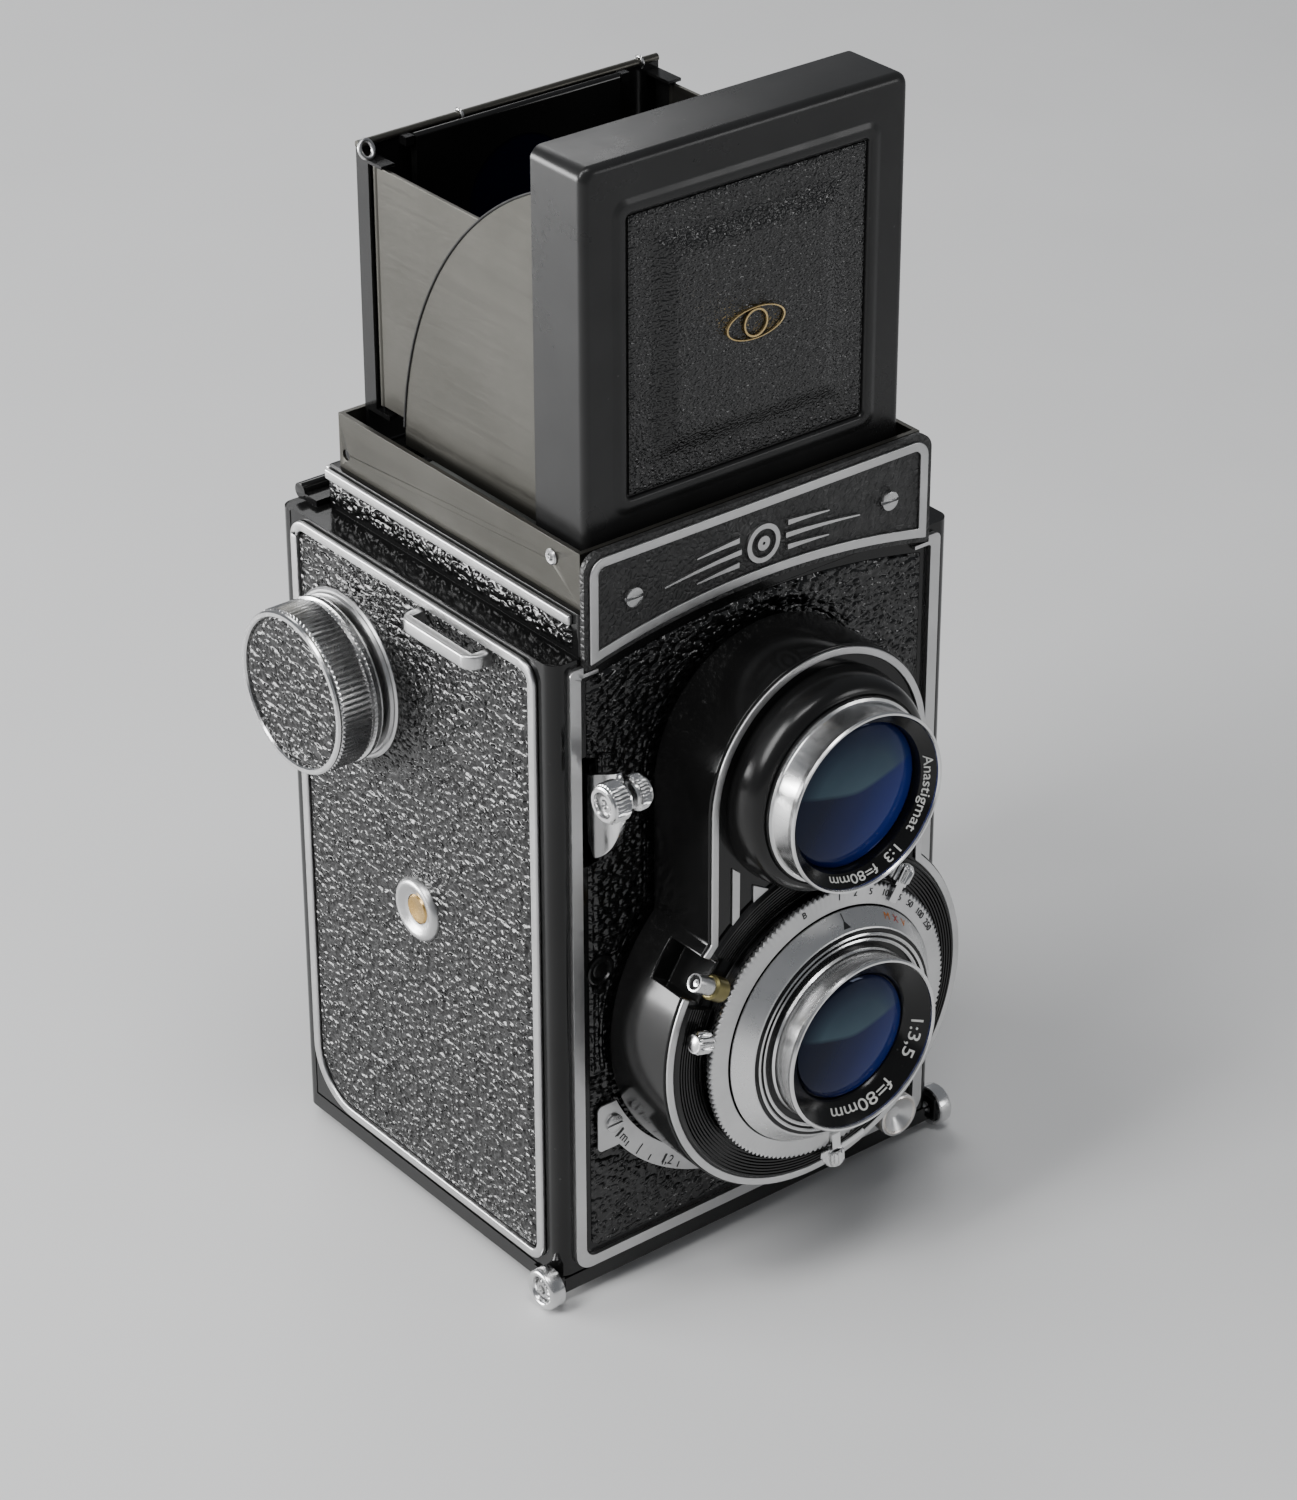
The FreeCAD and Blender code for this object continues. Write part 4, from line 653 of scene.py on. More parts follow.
lathe("viewing_seat", "front", VIEW_AT,
      [(11.9, 0), (17.6, 0), (17.65, 0.4), (17.2, 3.2), (16.9, 4.4), (16.4, 5.1), (15.6, 5.55), (15.2, 5.6),
       (15.15, 5.35),
       (14.95, 5.3), (14.9, 5.8), (11.9,
                                   5.8)], CASE_BLACK, "lens_board", ("viewing_barrel",), sharp=40)
lathe("viewing_sleeve", "front", VIEW_AT,
      [(13.6, 5.0), (14.75, 5.0), (14.75, 6.15), (14.35, 6.3), (14.25, 6.6), (14.25, VIEW_DEPTH - 1.1),
       (14.4, VIEW_DEPTH - 1.0), (14.45, VIEW_DEPTH - 0.3), (14.3, VIEW_DEPTH), (14.0, VIEW_DEPTH),
       (13.85, VIEW_DEPTH - 0.25), (13.75, VIEW_DEPTH - 1.0)],
      BRUSHED, "lens_board", sharp=22)
VIEW_FACE, VIEW_SLOPE = VIEW_DEPTH - 0.55, 0.95
lathe("viewing_name_ring", "front", VIEW_AT,
      [(11.6, 4.0), (13.8, 4.0), (13.8, VIEW_FACE), (12.1, VIEW_FACE - 1.7 * VIEW_SLOPE),
       (11.95, VIEW_FACE - 2.1),
       (11.85, VIEW_FACE - 3.4), (11.6, VIEW_FACE - 3.5)],
      GROOVE_BLACK, "lens_board", sharp=25)
FACE = 6.95
groove_rows = [(13.3, 5.0), (17.2, 5.0), (17.2, FACE - 0.35), (16.6, FACE - 0.35)]
for radius in (16.4, 15.5):
    groove_rows += [(radius + 0.15, FACE - 0.3), (radius - 0.15, FACE - 0.3), (radius - 0.2, FACE - 0.75),
                    (radius - 0.65, FACE - 0.75)]
groove_rows += [(14.4, FACE - 0.8), (13.3, FACE - 0.8)]
lathe("taking_grooves", "front", TAKE_AT, groove_rows, GROOVE_BLACK, "lens_board", sharp=22)
for index, radius in enumerate((16.4, 15.5)):
    lathe(f"groove_line_{index}", "front", TAKE_AT,
          [(radius - 0.24, FACE - 0.7), (radius + 0.24, FACE - 0.7), (radius + 0.24, FACE - 0.12),
           (radius, FACE), (radius - 0.24, FACE - 0.12)], LOOKS["chrome"], "lens_board")
lathe("taking_sleeve", "front", TAKE_AT,
      [(13.2, 6.0), (14.3, 6.0), (14.3, 7.1), (14.1, 7.5), (14.1, TAKE_DEPTH - 0.95),
       (14.3, TAKE_DEPTH - 0.8), (14.4, TAKE_DEPTH - 0.3),
       (14.2, TAKE_DEPTH), (13.9, TAKE_DEPTH), (13.75, TAKE_DEPTH - 0.2), (13.7, TAKE_DEPTH - 0.9)],
      BRUSHED, "lens_board", ("taking_barrel",), sharp=22)
TAKE_FACE, TAKE_SLOPE = TAKE_DEPTH - 0.5, 0.8
lathe("taking_name_ring", "front", TAKE_AT,
      [(9.9, 6.4), (13.75, 6.4), (13.75, TAKE_FACE), (11.0, TAKE_FACE - 2.75 * TAKE_SLOPE),
       (10.7, TAKE_FACE - 2.6),
       (10.4, TAKE_FACE - 3.3), (9.9, TAKE_FACE - 3.4)],
      GROOVE_BLACK, "lens_board", sharp=25)


def lens_dome(name, at, radius, base, crown, look, replaces=()):
    """A glass surface: a shallow dome with its rim turned down."""
    rows = [(radius, base - 0.6)] + [(radius * math.cos(a), base + crown * math.sin(a))
                                     for a in [math.pi / 2 * k / 16 for k in range(16)]] + [(0.001,
                                                                                             base + crown)]
    return lathe(name, "front", at, rows, look, "lens_board", replaces, closed=False, sharp=80)


VIEW_BASE, TAKE_BASE = VIEW_FACE - 3.3, TAKE_FACE - 3.1
# the front glasses' colour is a painted reflection over a blue with painted shade, centred on each lens
VIEW_PAINTED_GLASS = glass("view_glass_painted_reflection", (0.008, 0.022, 0.17), 12.2, (0, BOARD - VIEW_BASE, VIEW.z))
TAKE_PAINTED_GLASS = glass("take_glass_painted_reflection", (0.007, 0.018, 0.13), 10.6, (0, BOARD - TAKE_BASE, TAKE.z))
lens_dome("viewing_front_glass", VIEW_AT, 11.9, VIEW_BASE, 1.5, VIEW_PAINTED_GLASS, ("viewing_glass",))
lens_dome("taking_front_glass", TAKE_AT, 10.3, TAKE_BASE, 1.3, TAKE_PAINTED_GLASS, ("taking_glass",))

# shutter: ribbed case, serrated speed ring, satin face ring with its index
SYNC = 146   # where the flash contact stands, in degrees; the ribs stop short of it
RIBS, RIB_PITCH, RIB_GAP, RIB_STEPS = 9, 0.5, 9.5, 132
rib_rows = [(22.7, 0.02), (28.0, 0.02), (28.0, 0.3), (27.6, 0.45)]
for k in range(RIBS):
    far = 27.3 - k * RIB_PITCH
    rib_rows += [(far, 0.9), (far - 0.26, 0.9), (far - 0.3, 0.4), (far - 0.46, 0.4)]
rib_rows += [(22.7, 0.9)]
points = []
open_from, open_to = math.radians(SYNC + RIB_GAP), math.radians(SYNC - RIB_GAP + 360)
for step in range(RIB_STEPS + 1):
    turn = open_from + (open_to - open_from) * step / RIB_STEPS
    for radius, height in rib_rows:
        points.append(place_in("front", TAKE_AT, radius * math.cos(turn), radius * math.sin(turn), height))
count = len(rib_rows)
faces = quads(RIB_STEPS + 1, count, wrap_columns=True)
faces += [tuple(range(count)), tuple(RIB_STEPS * count + k for k in reversed(range(count)))]
piece("case_ribs", points, faces, CASE_BLACK, "lens_board", sharp=30)

lathe("serrated_ring", "front", TAKE_AT,
      [(19.8, 2.3), (22.7, 2.3), (23.15, 2.45, 150, 0.5), (23.2, 3.0, 150, 0.5), (22.95, 3.2, 150, 0.4),
       (22.4, 3.3), (19.95, 3.62), (19.8, 3.5)],
      SATIN_FACE, "speed_dial", ("speed_ring",), steps=600, sharp=28)
lathe("speed_ring_body", "front", TAKE_AT,
      [(18.75, 2.0), (22.3, 2.0), (22.3, 2.9), (19.85, 2.9), (19.85, 3.3), (18.75, 3.3)],
      GROOVE_BLACK, "speed_dial", sharp=28)
DIAL_SLOPE = (3.62 - 3.3) / (19.95 - 22.4)
CONE_RADIUS, CONE_HEIGHT, CONE_SLOPE = 19.55, 4.1, -1.2
lathe("index_ring", "front", TAKE_AT,
      [(13.3, 3.45), (18.6, 3.45), (19.4, 3.6), (19.65, 3.7), (19.68, 3.95), (CONE_RADIUS, CONE_HEIGHT),
       (17.5, CONE_HEIGHT + (17.5 - CONE_RADIUS) * CONE_SLOPE), (17.3, 6.65), (17.15, 6.5), (17.15,
                                                                                             5.8), (13.3, 5.8)],
      FACE_METAL, "lens_board", ("face_ring",), sharp=25)
speeds = ("B", "1", "2", "5", "10", "25", "50", "100", "250")
for index, text in enumerate(speeds):
    angle = math.radians(104 if text == "B" else 94.4 - index * 8.45)
    lettering(f"speed_{index}", text, 1.5, BLACK_INK, "speed_dial",
              round_ring("front", TAKE_AT, 21.35, angle, 3.46, DIAL_SLOPE), 0.06)
for index, (text, look) in enumerate((("V", AMBER_INK), ("X", RED_INK), ("M", AMBER_INK))):
    lettering(f"sync_letter_{index}", text, 1.7, look, "lens_board",
              round_ring("front", TAKE_AT, 18.45, math.radians(46 + index * 6.5),
                         CONE_HEIGHT + (18.45 - CONE_RADIUS) * CONE_SLOPE, CONE_SLOPE), 0.06)
for name, text, size, at, radius, face, slope, turn in (
        ("taking_marks", "1:3,5    f=80mm", 2.7, TAKE_AT, 11.5, TAKE_FACE, TAKE_SLOPE, -58),
        ("viewing_marks", "Anastigmat   1:3  f=80mm", 2.1, VIEW_AT, 12.4, VIEW_FACE, VIEW_SLOPE, -52)):
    ring_height = face - (13.75 - radius) * slope
    lettering(name, text, size, WHITE_INK, "lens_board",
              round_ring("front", at, radius, math.radians(turn), ring_height, slope), 0.05, 1.3)


def prism(name, low, high, look, body, slot, bevel=0.0):
    """A closed plate between two outlines with the same number of corners."""
    count = len(low)
    faces = [tuple(range(count)), tuple(range(2 * count - 1, count - 1, -1))]
    faces += [(k, (k + 1) % count, count + (k + 1) % count, count + k) for k in range(count)]
    return piece(name, low + high, faces, look, body, bevel=bevel)


def slab(name, facing, at, corners, low, high, look, body, slot, bevel=0.0):
    """A flat plate with straight sides between two heights."""
    under, over = ([place_in(facing, at, u, v, height) for u, v in corners] for height in (low, high))
    return prism(name, under, over, look, body, slot, bevel)


def polar(radius, degrees):
    return radius * math.cos(math.radians(degrees)), radius * math.sin(math.radians(degrees))


def on_cone(name, corners):
    """A small flat mark on the face ring."""
    layers = []
    for lift in (0.02, 0.07):
        layers.append([place_in("front", TAKE_AT, *polar(radius, degrees),
                                CONE_HEIGHT + (radius - CONE_RADIUS) * CONE_SLOPE + lift)
                       for radius, degrees in corners])
    prism(name, *layers, BLACK_INK, "lens_board", "black_enamel")


on_cone("index_mark", [(17.9, 84.9), (17.9, 89.3), (18.75, 87.1)])
on_cone("index_line", [(18.7, 86.8), (18.7, 87.3), (19.5, 87.0), (19.5, 86.5)])

# satin bars and arrow heads on the board between the lenses
for side, sign in (("left", -1), ("right", 1)):
    bar = [(-16.6, 68.2), (-15.2, 69.4), (-15.2, 77.0), (-16.6, 78.2)]
    arrow = [(-12.6, 73.8), (-12.6, 70.4), (-9.4, 72.0)]
    for label, corners in (("bar", bar), ("arrow", arrow)):
        corners = [(u * -sign, v) for u, v in corners]
        slab(f"board_{label}_{side}", "front", (0, BOARD, 0), corners if sign < 0 else corners[::-1], 0.0,
             0.35,
             LOOKS["satin_trim"], "lens_board", "satin_trim", bevel=0.08)

# ---------------------------------------------------------------- knurled knobs

wind_low, wind_high = span("wind_knob")
WIND_AT = (-SIDE, (wind_low.y + wind_high.y) / 2, (wind_low.z + wind_high.z) / 2)
WIND_H = -wind_low.x - SIDE
lathe("wind_seat", "left", WIND_AT,
      [(4.4, 0), (13.7, 0), (13.7, 0.7), (13.4, 1.0), (13.1, 1.05), (12.9, 1.5), (12.5, 1.65), (11.2, 1.65),
       (10.9, 1.2),
       (4.4, 1.2)], LOOKS["satin_trim"], "camera_body", ("wind_base_ring",), sharp=22)
lathe("wind_grip", "left", WIND_AT,
      [(4.0, 1.9), (9.9, 1.9), (9.9, 2.5), (12.3, 2.6), (13.0, 2.9), (13.2, 3.3), (13.2, 4.0), (12.75, 4.2),
       (12.7, 4.6), (12.9, 4.75, 92, 0.1), (13.2, 4.95, 92, 0.45), (13.2, WIND_H - 1.1, 92, 0.45),
       (12.9, WIND_H - 0.9, 92, 0.1), (12.75, WIND_H - 0.8), (13.05, WIND_H - 0.6), (13.05, WIND_H - 0.3),
       (12.8, WIND_H), (12.2, WIND_H), (12.0, WIND_H - 0.25), (11.9, WIND_H - 0.8), (4.0, WIND_H - 0.8)],
      LOOKS["knurled_chrome"], "winder", ("wind_knob",), steps=552, sharp=26)


def disc_leather(name, facing, at, radius, base, body, replaces, grain_at):
    """A round inlay of the same leatherette."""
    rings, steps = 30, 150
    points = []
    for ring in range(rings + 1):
        for turn in around(steps):
            reach = radius * (1 - ring / rings) + 0.02
            u, v = reach * math.cos(turn), reach * math.sin(turn)
            inside = radius - reach
            height = base + 0.3 * ramped(inside, 0, 0.5) + 0.26 * grain_at(u, v) * ramped(inside, 0.2, 1.0)
            points.append(place_in(facing, at, u, v, height))
    faces = quads(rings + 1, steps,
                  wrap_columns=True) + [tuple(rings * steps + step for step in range(steps))]
    return piece(name, points, faces, LOOKS["leatherette"], body, replaces, sharp=60)


disc_leather("wind_inlay", "left", WIND_AT, 11.9, WIND_H - 0.75, "winder", ("wind_knob_leather",),
             pebbles(1.2, 0.8, 31))

bezel = middle("release_bezel")
BEZEL_AT = (-SIDE, bezel.y, bezel.z)
lathe("button_bezel", "left", BEZEL_AT,
      [(2.5, 0), (5.3, 0), (5.3, 0.6), (5.1, 1.15), (4.7, 1.5), (4.3, 1.6), (3.9, 1.5), (3.3, 1.05),
       (2.8, 0.85),
       (2.5, 0.8)], LOOKS["satin_trim"], "camera_body", ("release_bezel",), sharp=40, steps=96)
lathe("button_face", "left", BEZEL_AT,
      [(2.4, -4.0), (2.4, 0.75), (2.15, 1.0), (1.6, 0.95), (1.0, 0.8), (0.01, 0.75)],
      LOOKS["brass"], "advance", ("advance_button",), closed=False, steps=64, sharp=40)

for side in ("left", "right"):
    low, high = span(f"latch_knob_{side}")
    inside = -low.x if side == "left" else high.x
    at = ((-1 if side == "left" else 1) * (inside - 2.6), (low.y + high.y) / 2, (low.z + high.z) / 2)
    lathe(f"latch_disc_{side}", side, at,
          [(1.2, -0.1), (3.2, -0.05), (3.4, 0.15), (3.4, 1.9), (3.3, 2.25), (3.05, 2.5), (2.75, 2.6),
           (2.4, 2.5),
           (2.15, 2.2), (2.0, 1.2), (1.2, 1.1)],
          LOOKS["knurled_chrome"], f"latch_{side}", (f"latch_knob_{side}",), steps=96, sharp=35)
    lathe(f"latch_grip_{side}", side, at,
          [(0.6, 0.9), (1.65, 0.9, 12, 0.35), (1.65, 1.9, 12, 0.35), (1.4, 2.15, 12, 0.2), (0.8, 2.15),
           (0.6, 1.5)],
          LOOKS["steel"], f"latch_{side}", steps=84, sharp=28)

handle_low, handle_high = span("release_handle")
handle_y, handle_z = (handle_low.y + handle_high.y) / 2, (handle_low.z + handle_high.z) / 2
for side, start, length, wide, hollow, replaces in (
        ("left", handle_low.x + 3.4, 3.7, 3.15, True, ("release_handle",)),
        ("right", handle_high.x - 2.6, 2.7, 2.75, False, ())):
    rows = [(1.2, 0.0), (wide - 0.7, 0.0), (wide - 0.65, 0.5), (wide - 0.1, 0.6, 30, 0.1),
            (wide, 0.75, 30, 0.3),
            (wide, length - 0.75, 30, 0.3), (wide - 0.1, length - 0.6, 30, 0.1), (wide - 0.3, length - 0.5),
            (wide - 0.35, length - 0.15), (wide - 0.6, length)]
    rows += [(2.05, length), (1.9, length - 0.3), (1.85, length - 1.4), (1.2, length - 1.4)] if hollow else \
            [(1.4, length), (1.2, length - 0.3)]
    lathe(f"release_grip_{side}", side, (start, handle_y, handle_z), rows, LOOKS["knurled_chrome"], "release",
          replaces, steps=240, sharp=28)
    lathe(f"release_core_{side}", side, (start, handle_y, handle_z),
          [(0.01, length - 1.3), (1.9, length - 1.3), (1.3, length - 0.9), (1.25, length - 0.5),
           (0.8, length - 0.45),
           (0.6, length - 0.9), (0.01, length - 0.9)] if hollow else
          [(0.01, length - 0.4), (1.35, length - 0.4), (1.3, length - 0.1), (0.01, length - 0.05)],
          LOOKS["steel"], "release", steps=48)


def outward(degrees):
    """A face that looks straight out from the taking axis at an angle."""
    out = Vector((math.cos(math.radians(degrees)), 0, math.sin(math.radians(degrees))))
    right = Vector((0, 1, 0))
    FACES[f"out_{degrees}"] = (right, out.cross(right), out)
    return f"out_{degrees}"


def from_axis(degrees, reach, depth):
    return (reach * math.cos(math.radians(degrees)), BOARD - depth,
            TAKE.z + reach * math.sin(math.radians(degrees)))


STUB = [(1.3, 0.0), (1.6, 0.1), (1.85, 0.3, 12, 0.4), (1.85, 2.1, 12, 0.4), (1.6, 2.5, 12, 0.2), (1.2, 2.9),
        (0.7, 3.05), (0.01, 3.1)]
for name, degrees, reach, depth, body in (("cocking_grip", 56, 24.0, 3.0, "cocking"),
                                          ("aperture_grip", -86, 24.0, 3.0, "aperture"),
                                          ("selector_grip", 166, 23.6, 2.5, "selector")):
    lathe(name, outward(degrees), from_axis(degrees, reach, depth), STUB, LOOKS["knurled_chrome"], body,
          closed=False, steps=108, sharp=28)
arm = [polar(24.5, -93 + k * 2.1) for k in range(11)] + [polar(23.5, -72 - k * 2.1) for k in range(11)]
slab("aperture_arm", "front", TAKE_AT, arm, 3.45, 3.8, LOOKS["chrome"], "aperture", "chrome", bevel=0.08)
post = outward(SYNC)
lathe("sync_socket", post, from_axis(SYNC, 24.7, 2.6),
      [(0.01, 0), (1.7, 0), (1.9, 0.3), (1.9, 2.6), (1.6, 2.9), (0.01, 3.0)], OLD_BRASS, "lens_board",
      ("sync_post",), closed=False, steps=48)
lathe("sync_tip", post, from_axis(SYNC, 27.6, 2.6),
      [(0.5, 0), (1.45, 0), (1.5, 2.9), (1.4, 3.3), (1.15, 3.35), (1.05, 3.1), (0.95, 1.6), (0.5, 1.6)],
      LOOKS["steel"], "lens_board", steps=48)
lathe("sync_pin", post, from_axis(SYNC, 27.6, 2.6), [(0.01, 1.5), (0.55, 1.5), (0.55, 2.9), (0.01, 3.0)],
      LOOKS["steel"], "lens_board", closed=False, steps=24)
lathe("sync_foot", "front", from_axis(SYNC, 24.2, 0), [(0.01, 0), (0.95, 0), (0.95, 2.6), (0.01, 2.6)],
      LOOKS["brass"],
      "lens_board", closed=False, steps=32)

cup_front = span("focus_lever")[0].y
CUP_TURN, CUP_REACH = math.radians(305.5), 37.6
CUP_AT = (CUP_REACH * math.cos(CUP_TURN), cup_front, TAKE.z + CUP_REACH * math.sin(CUP_TURN))
lathe("focus_cup", "front", CUP_AT,
      [(1.9, -8.0), (2.1, -4.2), (3.1, -2.6), (3.55, -2.0), (3.65, -0.5), (3.5, -0.05), (3.2, 0.12),
       (2.85, 0.0),
       (2.4, -0.7), (1.5, -1.5), (0.01, -1.75)],
      CUP_METAL, "focus_drive", closed=False, steps=120, sharp=40)
lathe("blind_boss", "front", (BOSS_ACROSS, FRONT, BOSS_HIGH),
      [(2.5, 0), (2.45, 0.45), (2.2, 0.62), (1.85, 0.6), (1.7, 0.25), (1.3, 0.2), (1.1, 0.3), (0.01, 0.3)],
      LOOKS["black_enamel"], "camera_body", closed=False, steps=64)

# ---------------------------------------------------------------- hood lid, name plate and marks


def loops(name, facing, at, rings, look, body, replaces=(), sharp=32, corner_steps=8):
    """Nested rounded rectangles, each (left, right, low, high, radius, height), joined in order."""
    points = []
    count = 4 * (corner_steps + 1)
    for left, right, low, high, radius, height in rings:
        corners = ((right - radius, low + radius, -90), (right - radius, high - radius, 0),
                   (left + radius, high - radius, 90), (left + radius, low + radius, 180))
        for across, up, start in corners:
            for step in range(corner_steps + 1):
                turn = math.radians(start + 90 * step / corner_steps)
                u, v = across + radius * math.cos(turn), up + radius * math.sin(turn)
                points.append(place_in(facing, at, u, v, height))
    faces = quads(len(rings), count, wrap_columns=True)
    faces += [tuple(range(count)), tuple((len(rings) - 1) * count + k for k in range(count))]
    return piece(name, points, faces, look, body, replaces, sharp)


lid_low, lid_high = span("hood_lid")
LID = 29.6
LID_AT = (0, lid_low.y, 0)
LID_DEEP = lid_high.y - lid_low.y
LID_BOTTOM, LID_TOP = lid_low.z, lid_high.z


def lid_ring(inset, height, radius):
    return (-LID + inset, LID - inset, LID_BOTTOM + inset, LID_TOP - inset, radius, height)


pad_low, pad_high = span("lid_leather")


def pad_ring(out, height, radius):
    return (pad_low.x - out, pad_high.x + out, pad_low.z - out, pad_high.z + out, radius, height)


EDGE = 1.3
edge = [lid_ring(EDGE - EDGE * math.cos(a), -EDGE - 0.25 + EDGE * math.sin(a), 1.6 + 0.4 * math.cos(a))
        for a in [math.pi / 2 * k / 6 for k in range(7)]]
loops("lid_tray", "front", LID_AT,
      [lid_ring(0.8, -1.4, 1.2), lid_ring(0.8, -LID_DEEP + 0.1, 1.2), lid_ring(0.4, -LID_DEEP, 1.6),
       lid_ring(0.05, -LID_DEEP + 0.2, 1.9)] + edge +
      [pad_ring(3.0, -0.25, 2.6), pad_ring(2.6, -0.2, 2.4), pad_ring(2.1, 0.05, 2.1), pad_ring(1.6, 0.1, 1.8),
       pad_ring(0.9, 0.1, 1.3), pad_ring(0.65, 0.0, 1.1), pad_ring(0.5, -0.3, 0.9), pad_ring(0.35, -0.6,
                                                                                             0.8)],
      LID_BLACK, "lid", ("hood_lid",), sharp=50)
for side, sign in (("left", -1), ("right", 1)):
    lathe(f"lid_pivot_{side}", side, (sign * (LID - 0.3), -26.5, 125.6),
          [(0.35, 0), (0.75, 0), (0.75, 2.6), (1.2, 2.65), (1.25, 2.9), (1.0, 3.1), (0.6, 3.05), (0.45, 2.7)],
          LOOKS["steel"], "lid", steps=40)

pad_grain = pebbles(0.6, 0.6, 41)


def pad_height(u, v):
    inside = min(u - pad_low.x, pad_high.x - u, v - pad_low.z, pad_high.z - v)
    raised = 0.25 + 0.15 * ramped(inside, 0.0, 0.6) + 1.25 * ramped(inside, 3.6, 8.2)
    return raised + 0.10 * pad_grain(u, v) * ramped(inside, 0, 0.5)


skin("lid_pad", "front", (0, pad_high.y + 0.2, 0), pad_low.z, pad_high.z, lambda v: pad_low.x,
     lambda v: pad_high.x,
     pad_height, FINE_LEATHER, "lid", ("lid_leather",), 0.33)
PAD_FACE = 0.2 + 0.42 + 1.25
pad_middle = (0, pad_high.y, (pad_low.z + pad_high.z) / 2)


def band(name, facing, at, radius, wide, low, high, look, body, squash=1.0, steps=96):
    """A flat ring, round or oval."""
    points = []
    for turn in around(steps):
        for reach, height in ((radius, low), (radius, high), (radius - wide, high), (radius - wide, low)):
            points.append(place_in(facing, at, reach * math.cos(turn), squash * reach * math.sin(turn),
                                   height))
    return piece(name, points, quads(steps, 4, True, True), look, body)


for name, radius, squashed in (("lid_mark_outer", 5.4, 0.46), ("lid_mark_inner", 2.2, 1.0)):
    band(name, "front", pad_middle, radius, 0.28, PAD_FACE - 0.35, PAD_FACE + 0.06, GOLD, "lid",
         squashed)

# a plain ornament on the name plate, along its arch: a ring between three tapering lines on each side
PLATE_AT = (0, span("name_plate")[0].y, 120.9)
band("plate_ring", "front", PLATE_AT, 3.1, 0.8, -0.1, 0.45, LOOKS["satin_trim"], "camera_body")
band("plate_dot", "front", PLATE_AT, 1.15, 0.9, -0.1, 0.45, LOOKS["satin_trim"], "camera_body")
for sign in (-1, 1):
    for row, (near, far) in enumerate(((4.6, 12.5), (4.2, 18.5), (4.6, 12.5))):
        height = (row - 1) * -2.0
        side = "left" if sign < 0 else "right"
        along = [near + (far - near) * k / 8 for k in range(9)]
        drops = [across * across / (2 * PLATE_ARCH) for across in along]
        half = [0.42 - 0.32 * k / 8 for k in range(9)]
        upper = [(sign * across, height - drop + wide) for across, drop, wide in zip(along, drops, half)]
        lower = [(sign * across, height - drop - wide) for across, drop, wide in zip(along, drops, half)]
        slab(f"plate_line_{side}_{row}", "front", PLATE_AT, lower + upper[::-1], -0.1, 0.45,
             LOOKS["satin_trim"],
             "camera_body", "satin_trim")

# focusing scale marks
SCALE_AT = (0, span("focus_scale")[0].y, TAKE.z)
for name, text, degrees in (("scale_1", "1m", 215.5), ("scale_12", "1,2", 237)):
    lettering(name, text, 2.3, BLACK_INK, "camera_body",
              round_ring("front", SCALE_AT, 32.9, math.radians(degrees), 0.0, inward=True), 0.05)
for index, degrees in enumerate((213.5, 219, 224.5, 230, 236, 242)):
    near, far = (31.3, 33.2) if index % 2 == 0 else (32.2, 33.2)
    corners = [polar(near, degrees - 0.2), polar(far, degrees - 0.2), polar(far, degrees + 0.2),
               polar(near, degrees + 0.2)]
    slab(f"scale_tick_{index}", "front", SCALE_AT, corners, 0.0, 0.05, BLACK_INK, "camera_body",
         "black_enamel")

# hood: rolled hems and the hinge loop


def tube(name, path, radius, look, body, closed=False, steps=12):
    """A round wire through points."""
    points = []
    path = [Vector(point) for point in path]
    count = len(path)
    for index, spot in enumerate(path):
        before = path[index - 1] if index or closed else spot
        after = path[(index + 1) % count] if index < count - 1 or closed else spot
        along = (after - before).normalized()
        side = along.orthogonal().normalized() if abs(along.y) > 0.9 else along.cross(Vector((0, 1,
                                                                                              0))).normalized()
        rise = along.cross(side).normalized()
        for turn in around(steps):
            points.append(spot + side * radius * math.cos(turn) + rise * radius * math.sin(turn))
    faces = quads(count, steps, closed, True)
    if not closed:
        faces += [tuple(range(steps)), tuple((count - 1) * steps + step for step in reversed(range(steps)))]
    return piece(name, points, faces, look, body)


panel_high = span("back_panel")[1]
PANEL_HALF, PANEL_BACK = 27.9, 24.9
tube("back_hem", [(-PANEL_HALF, PANEL_BACK - 0.4, panel_high.z), (0, PANEL_BACK - 0.4, panel_high.z),
                  (PANEL_HALF, PANEL_BACK - 0.4, panel_high.z)], 0.62, LOOKS["hood_sheet"], "hood_back")
loop_at = Vector((-PANEL_HALF + 0.3, 22.6, panel_high.z - 0.2))
tube("hinge_loop", [loop_at + Vector((1.15 * math.cos(a), 0.6 * math.sin(a), 1.25 * math.sin(a)))
                    for a in around(20)], 0.36, LOOKS["steel"], "hood_back",
     closed=True)
for index, across in enumerate((-9.5, 24.5)):
    tube(f"hem_hook_{index}", [(across, PANEL_BACK - 0.4 + 0.9 * math.cos(a),
                                panel_high.z + 0.9 * math.sin(a))
                               for a in [math.pi * (k - 2) / 8 for k in range(13)]], 0.28, LOOKS["steel"], "hood_back")

# a thin matte black wire along the arc of each lid wing: a painted shadow line for the shade in the gap between wing
# and leaf
WING_X, WING_Y, WING_Z, WING_R = 28.45, -44.0, 125.6, 58.0
for side, sign in (("left", -1), ("right", 1)):
    arc = [(sign * WING_X, WING_Y + (WING_R + 0.1) * math.cos(a), WING_Z + (WING_R + 0.1) * math.sin(a))
           for a in [math.radians(4 + 72 * k / 60) for k in range(61)]]
    tube(f"wing_shadow_line_{side}", arc, 0.2, LOOKS["matte_black"], "lid", steps=8)

# ---------------------------------------------------------------- floor, light and camera

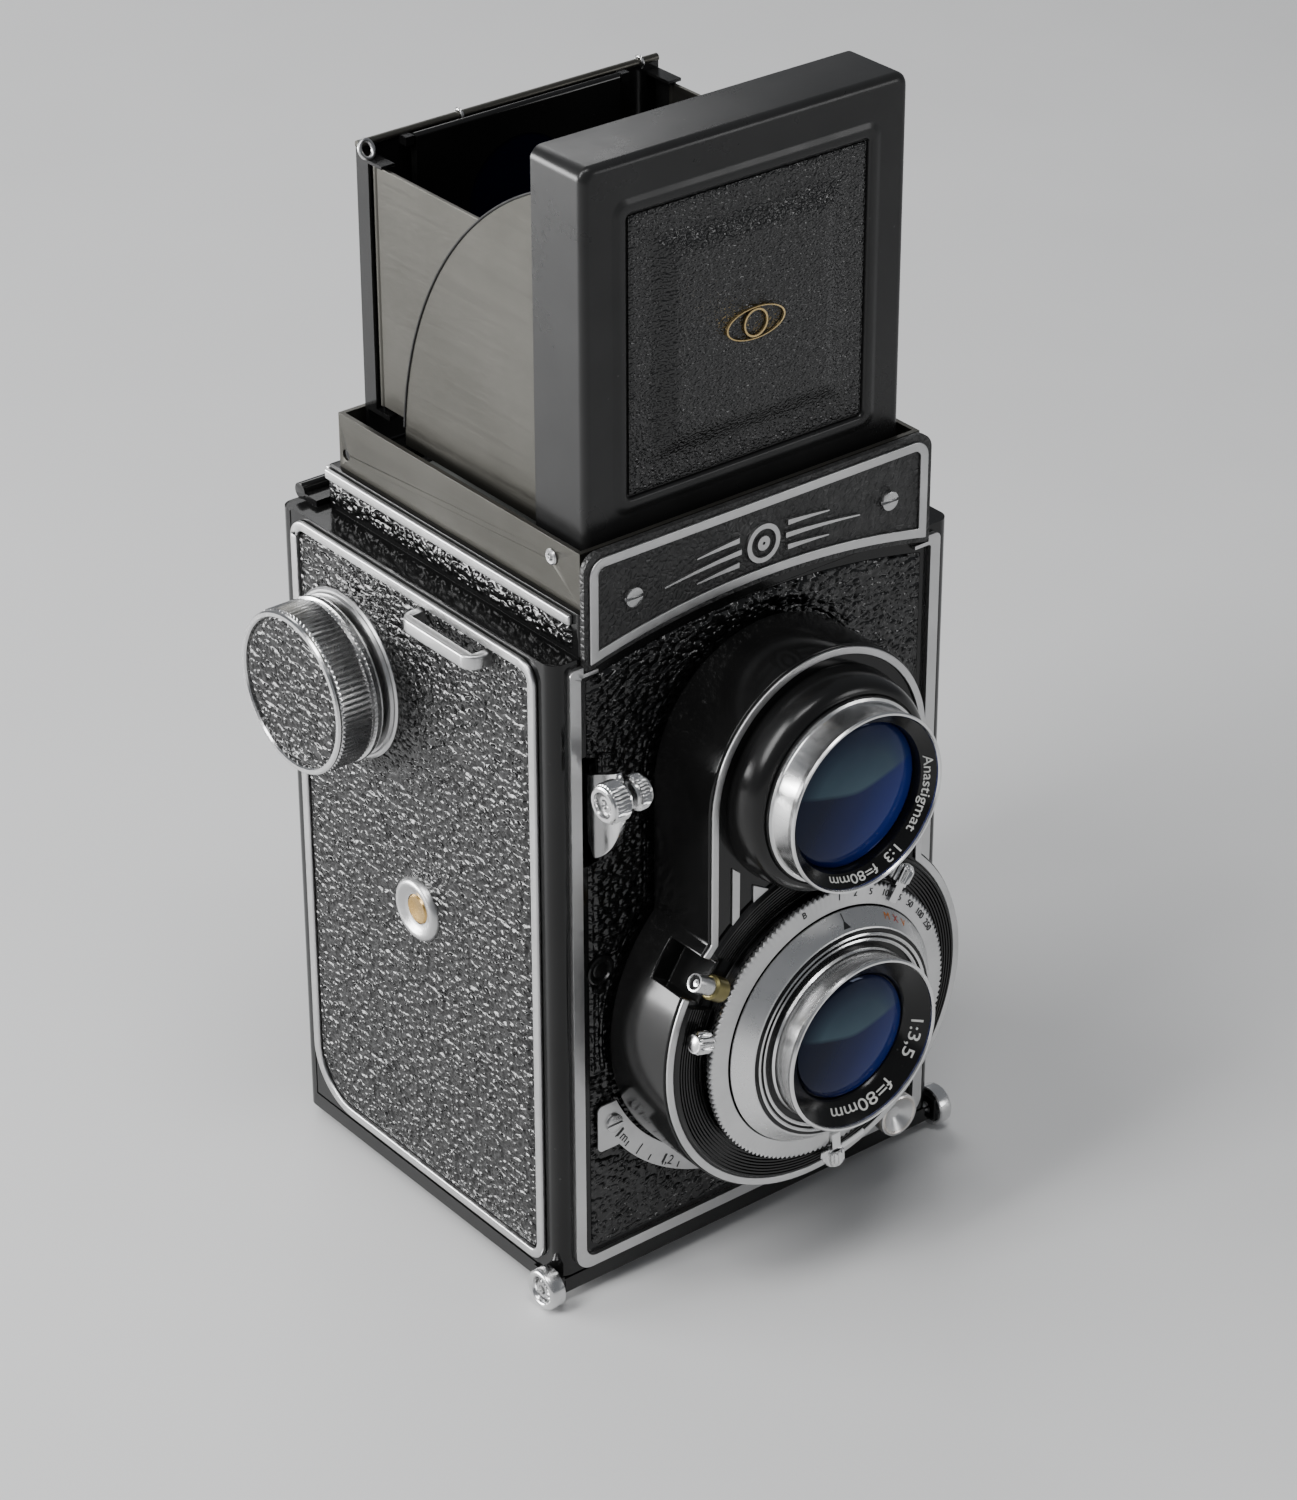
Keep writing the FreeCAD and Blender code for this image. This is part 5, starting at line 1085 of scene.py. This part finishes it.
floor_mesh = bpy.data.meshes.new("floor")
floor_mesh.from_pydata([(-6, -6, 0), (6, -6, 0), (6, 6, 0), (-6, 6, 0)], [], [(0, 1, 2, 3)])
floor = bpy.data.objects.new("floor", floor_mesh)
bpy.context.scene.collection.objects.link(floor)
paper = Finish("paper", IOR=1.45)
paper.colour(paper.ramp(paper.noise(6, 3), (0.3, grey(0.66)), (0.7, grey(0.70))))
paper.rough(paper.spread(paper.noise(40, 3), 0.5, 0.6))
floor_mesh.materials.append(paper.material)

world = bpy.data.worlds.new("studio")
bpy.context.scene.world = world
world.use_nodes = True
world.node_tree.nodes["Background"].inputs["Color"].default_value = (0.80, 0.83, 0.88, 1)
world.node_tree.nodes["Background"].inputs["Strength"].default_value = 0.26

target = Vector((0, -5, 90)) * MM


def softbox(name, at, wide, tall, power):
    light = bpy.data.lights.new(name, "AREA")
    light.shape = "RECTANGLE"
    light.size, light.size_y, light.energy = wide, tall, power
    lamp = bpy.data.objects.new(name, light)
    lamp.location = Vector(at)
    lamp.rotation_euler = (target - lamp.location).to_track_quat("-Z", "Y").to_euler()
    bpy.context.scene.collection.objects.link(lamp)


softbox("key", (-0.75, -0.05, 0.85), 0.28, 0.75, 9)
softbox("low_left", (-0.95, 0.85, 0.22), 0.9, 0.42, 30)
softbox("top", (-0.15, -0.35, 1.3), 0.5, 0.3, 5)
softbox("low_front", (0.72, -0.92, 0.30), 0.22, 0.36, 1.5)
softbox("rim", (0.35, 1.0, 0.9), 0.8, 0.4, 4)

camera = bpy.data.cameras.new("camera")
camera.sensor_fit = "VERTICAL"
camera.sensor_height = 36.0
camera.lens = 106.3
camera.clip_start, camera.clip_end = 0.01, 20
eye = bpy.data.objects.new("camera", camera)
bpy.context.scene.collection.objects.link(eye)
look_along = Vector((0.53822, 0.67737, -0.50149)).normalized()
up = Vector((0.31352, 0.3914, 0.86516))
right = look_along.cross(up).normalized()
up = right.cross(look_along).normalized()
eye.matrix_world = Matrix((
    (right.x, up.x, -look_along.x, -0.36916),
    (right.y, up.y, -look_along.y, -0.47285),
    (right.z, up.z, -look_along.z, 0.41787),
    (0, 0, 0, 1)))
bpy.context.scene.camera = eye
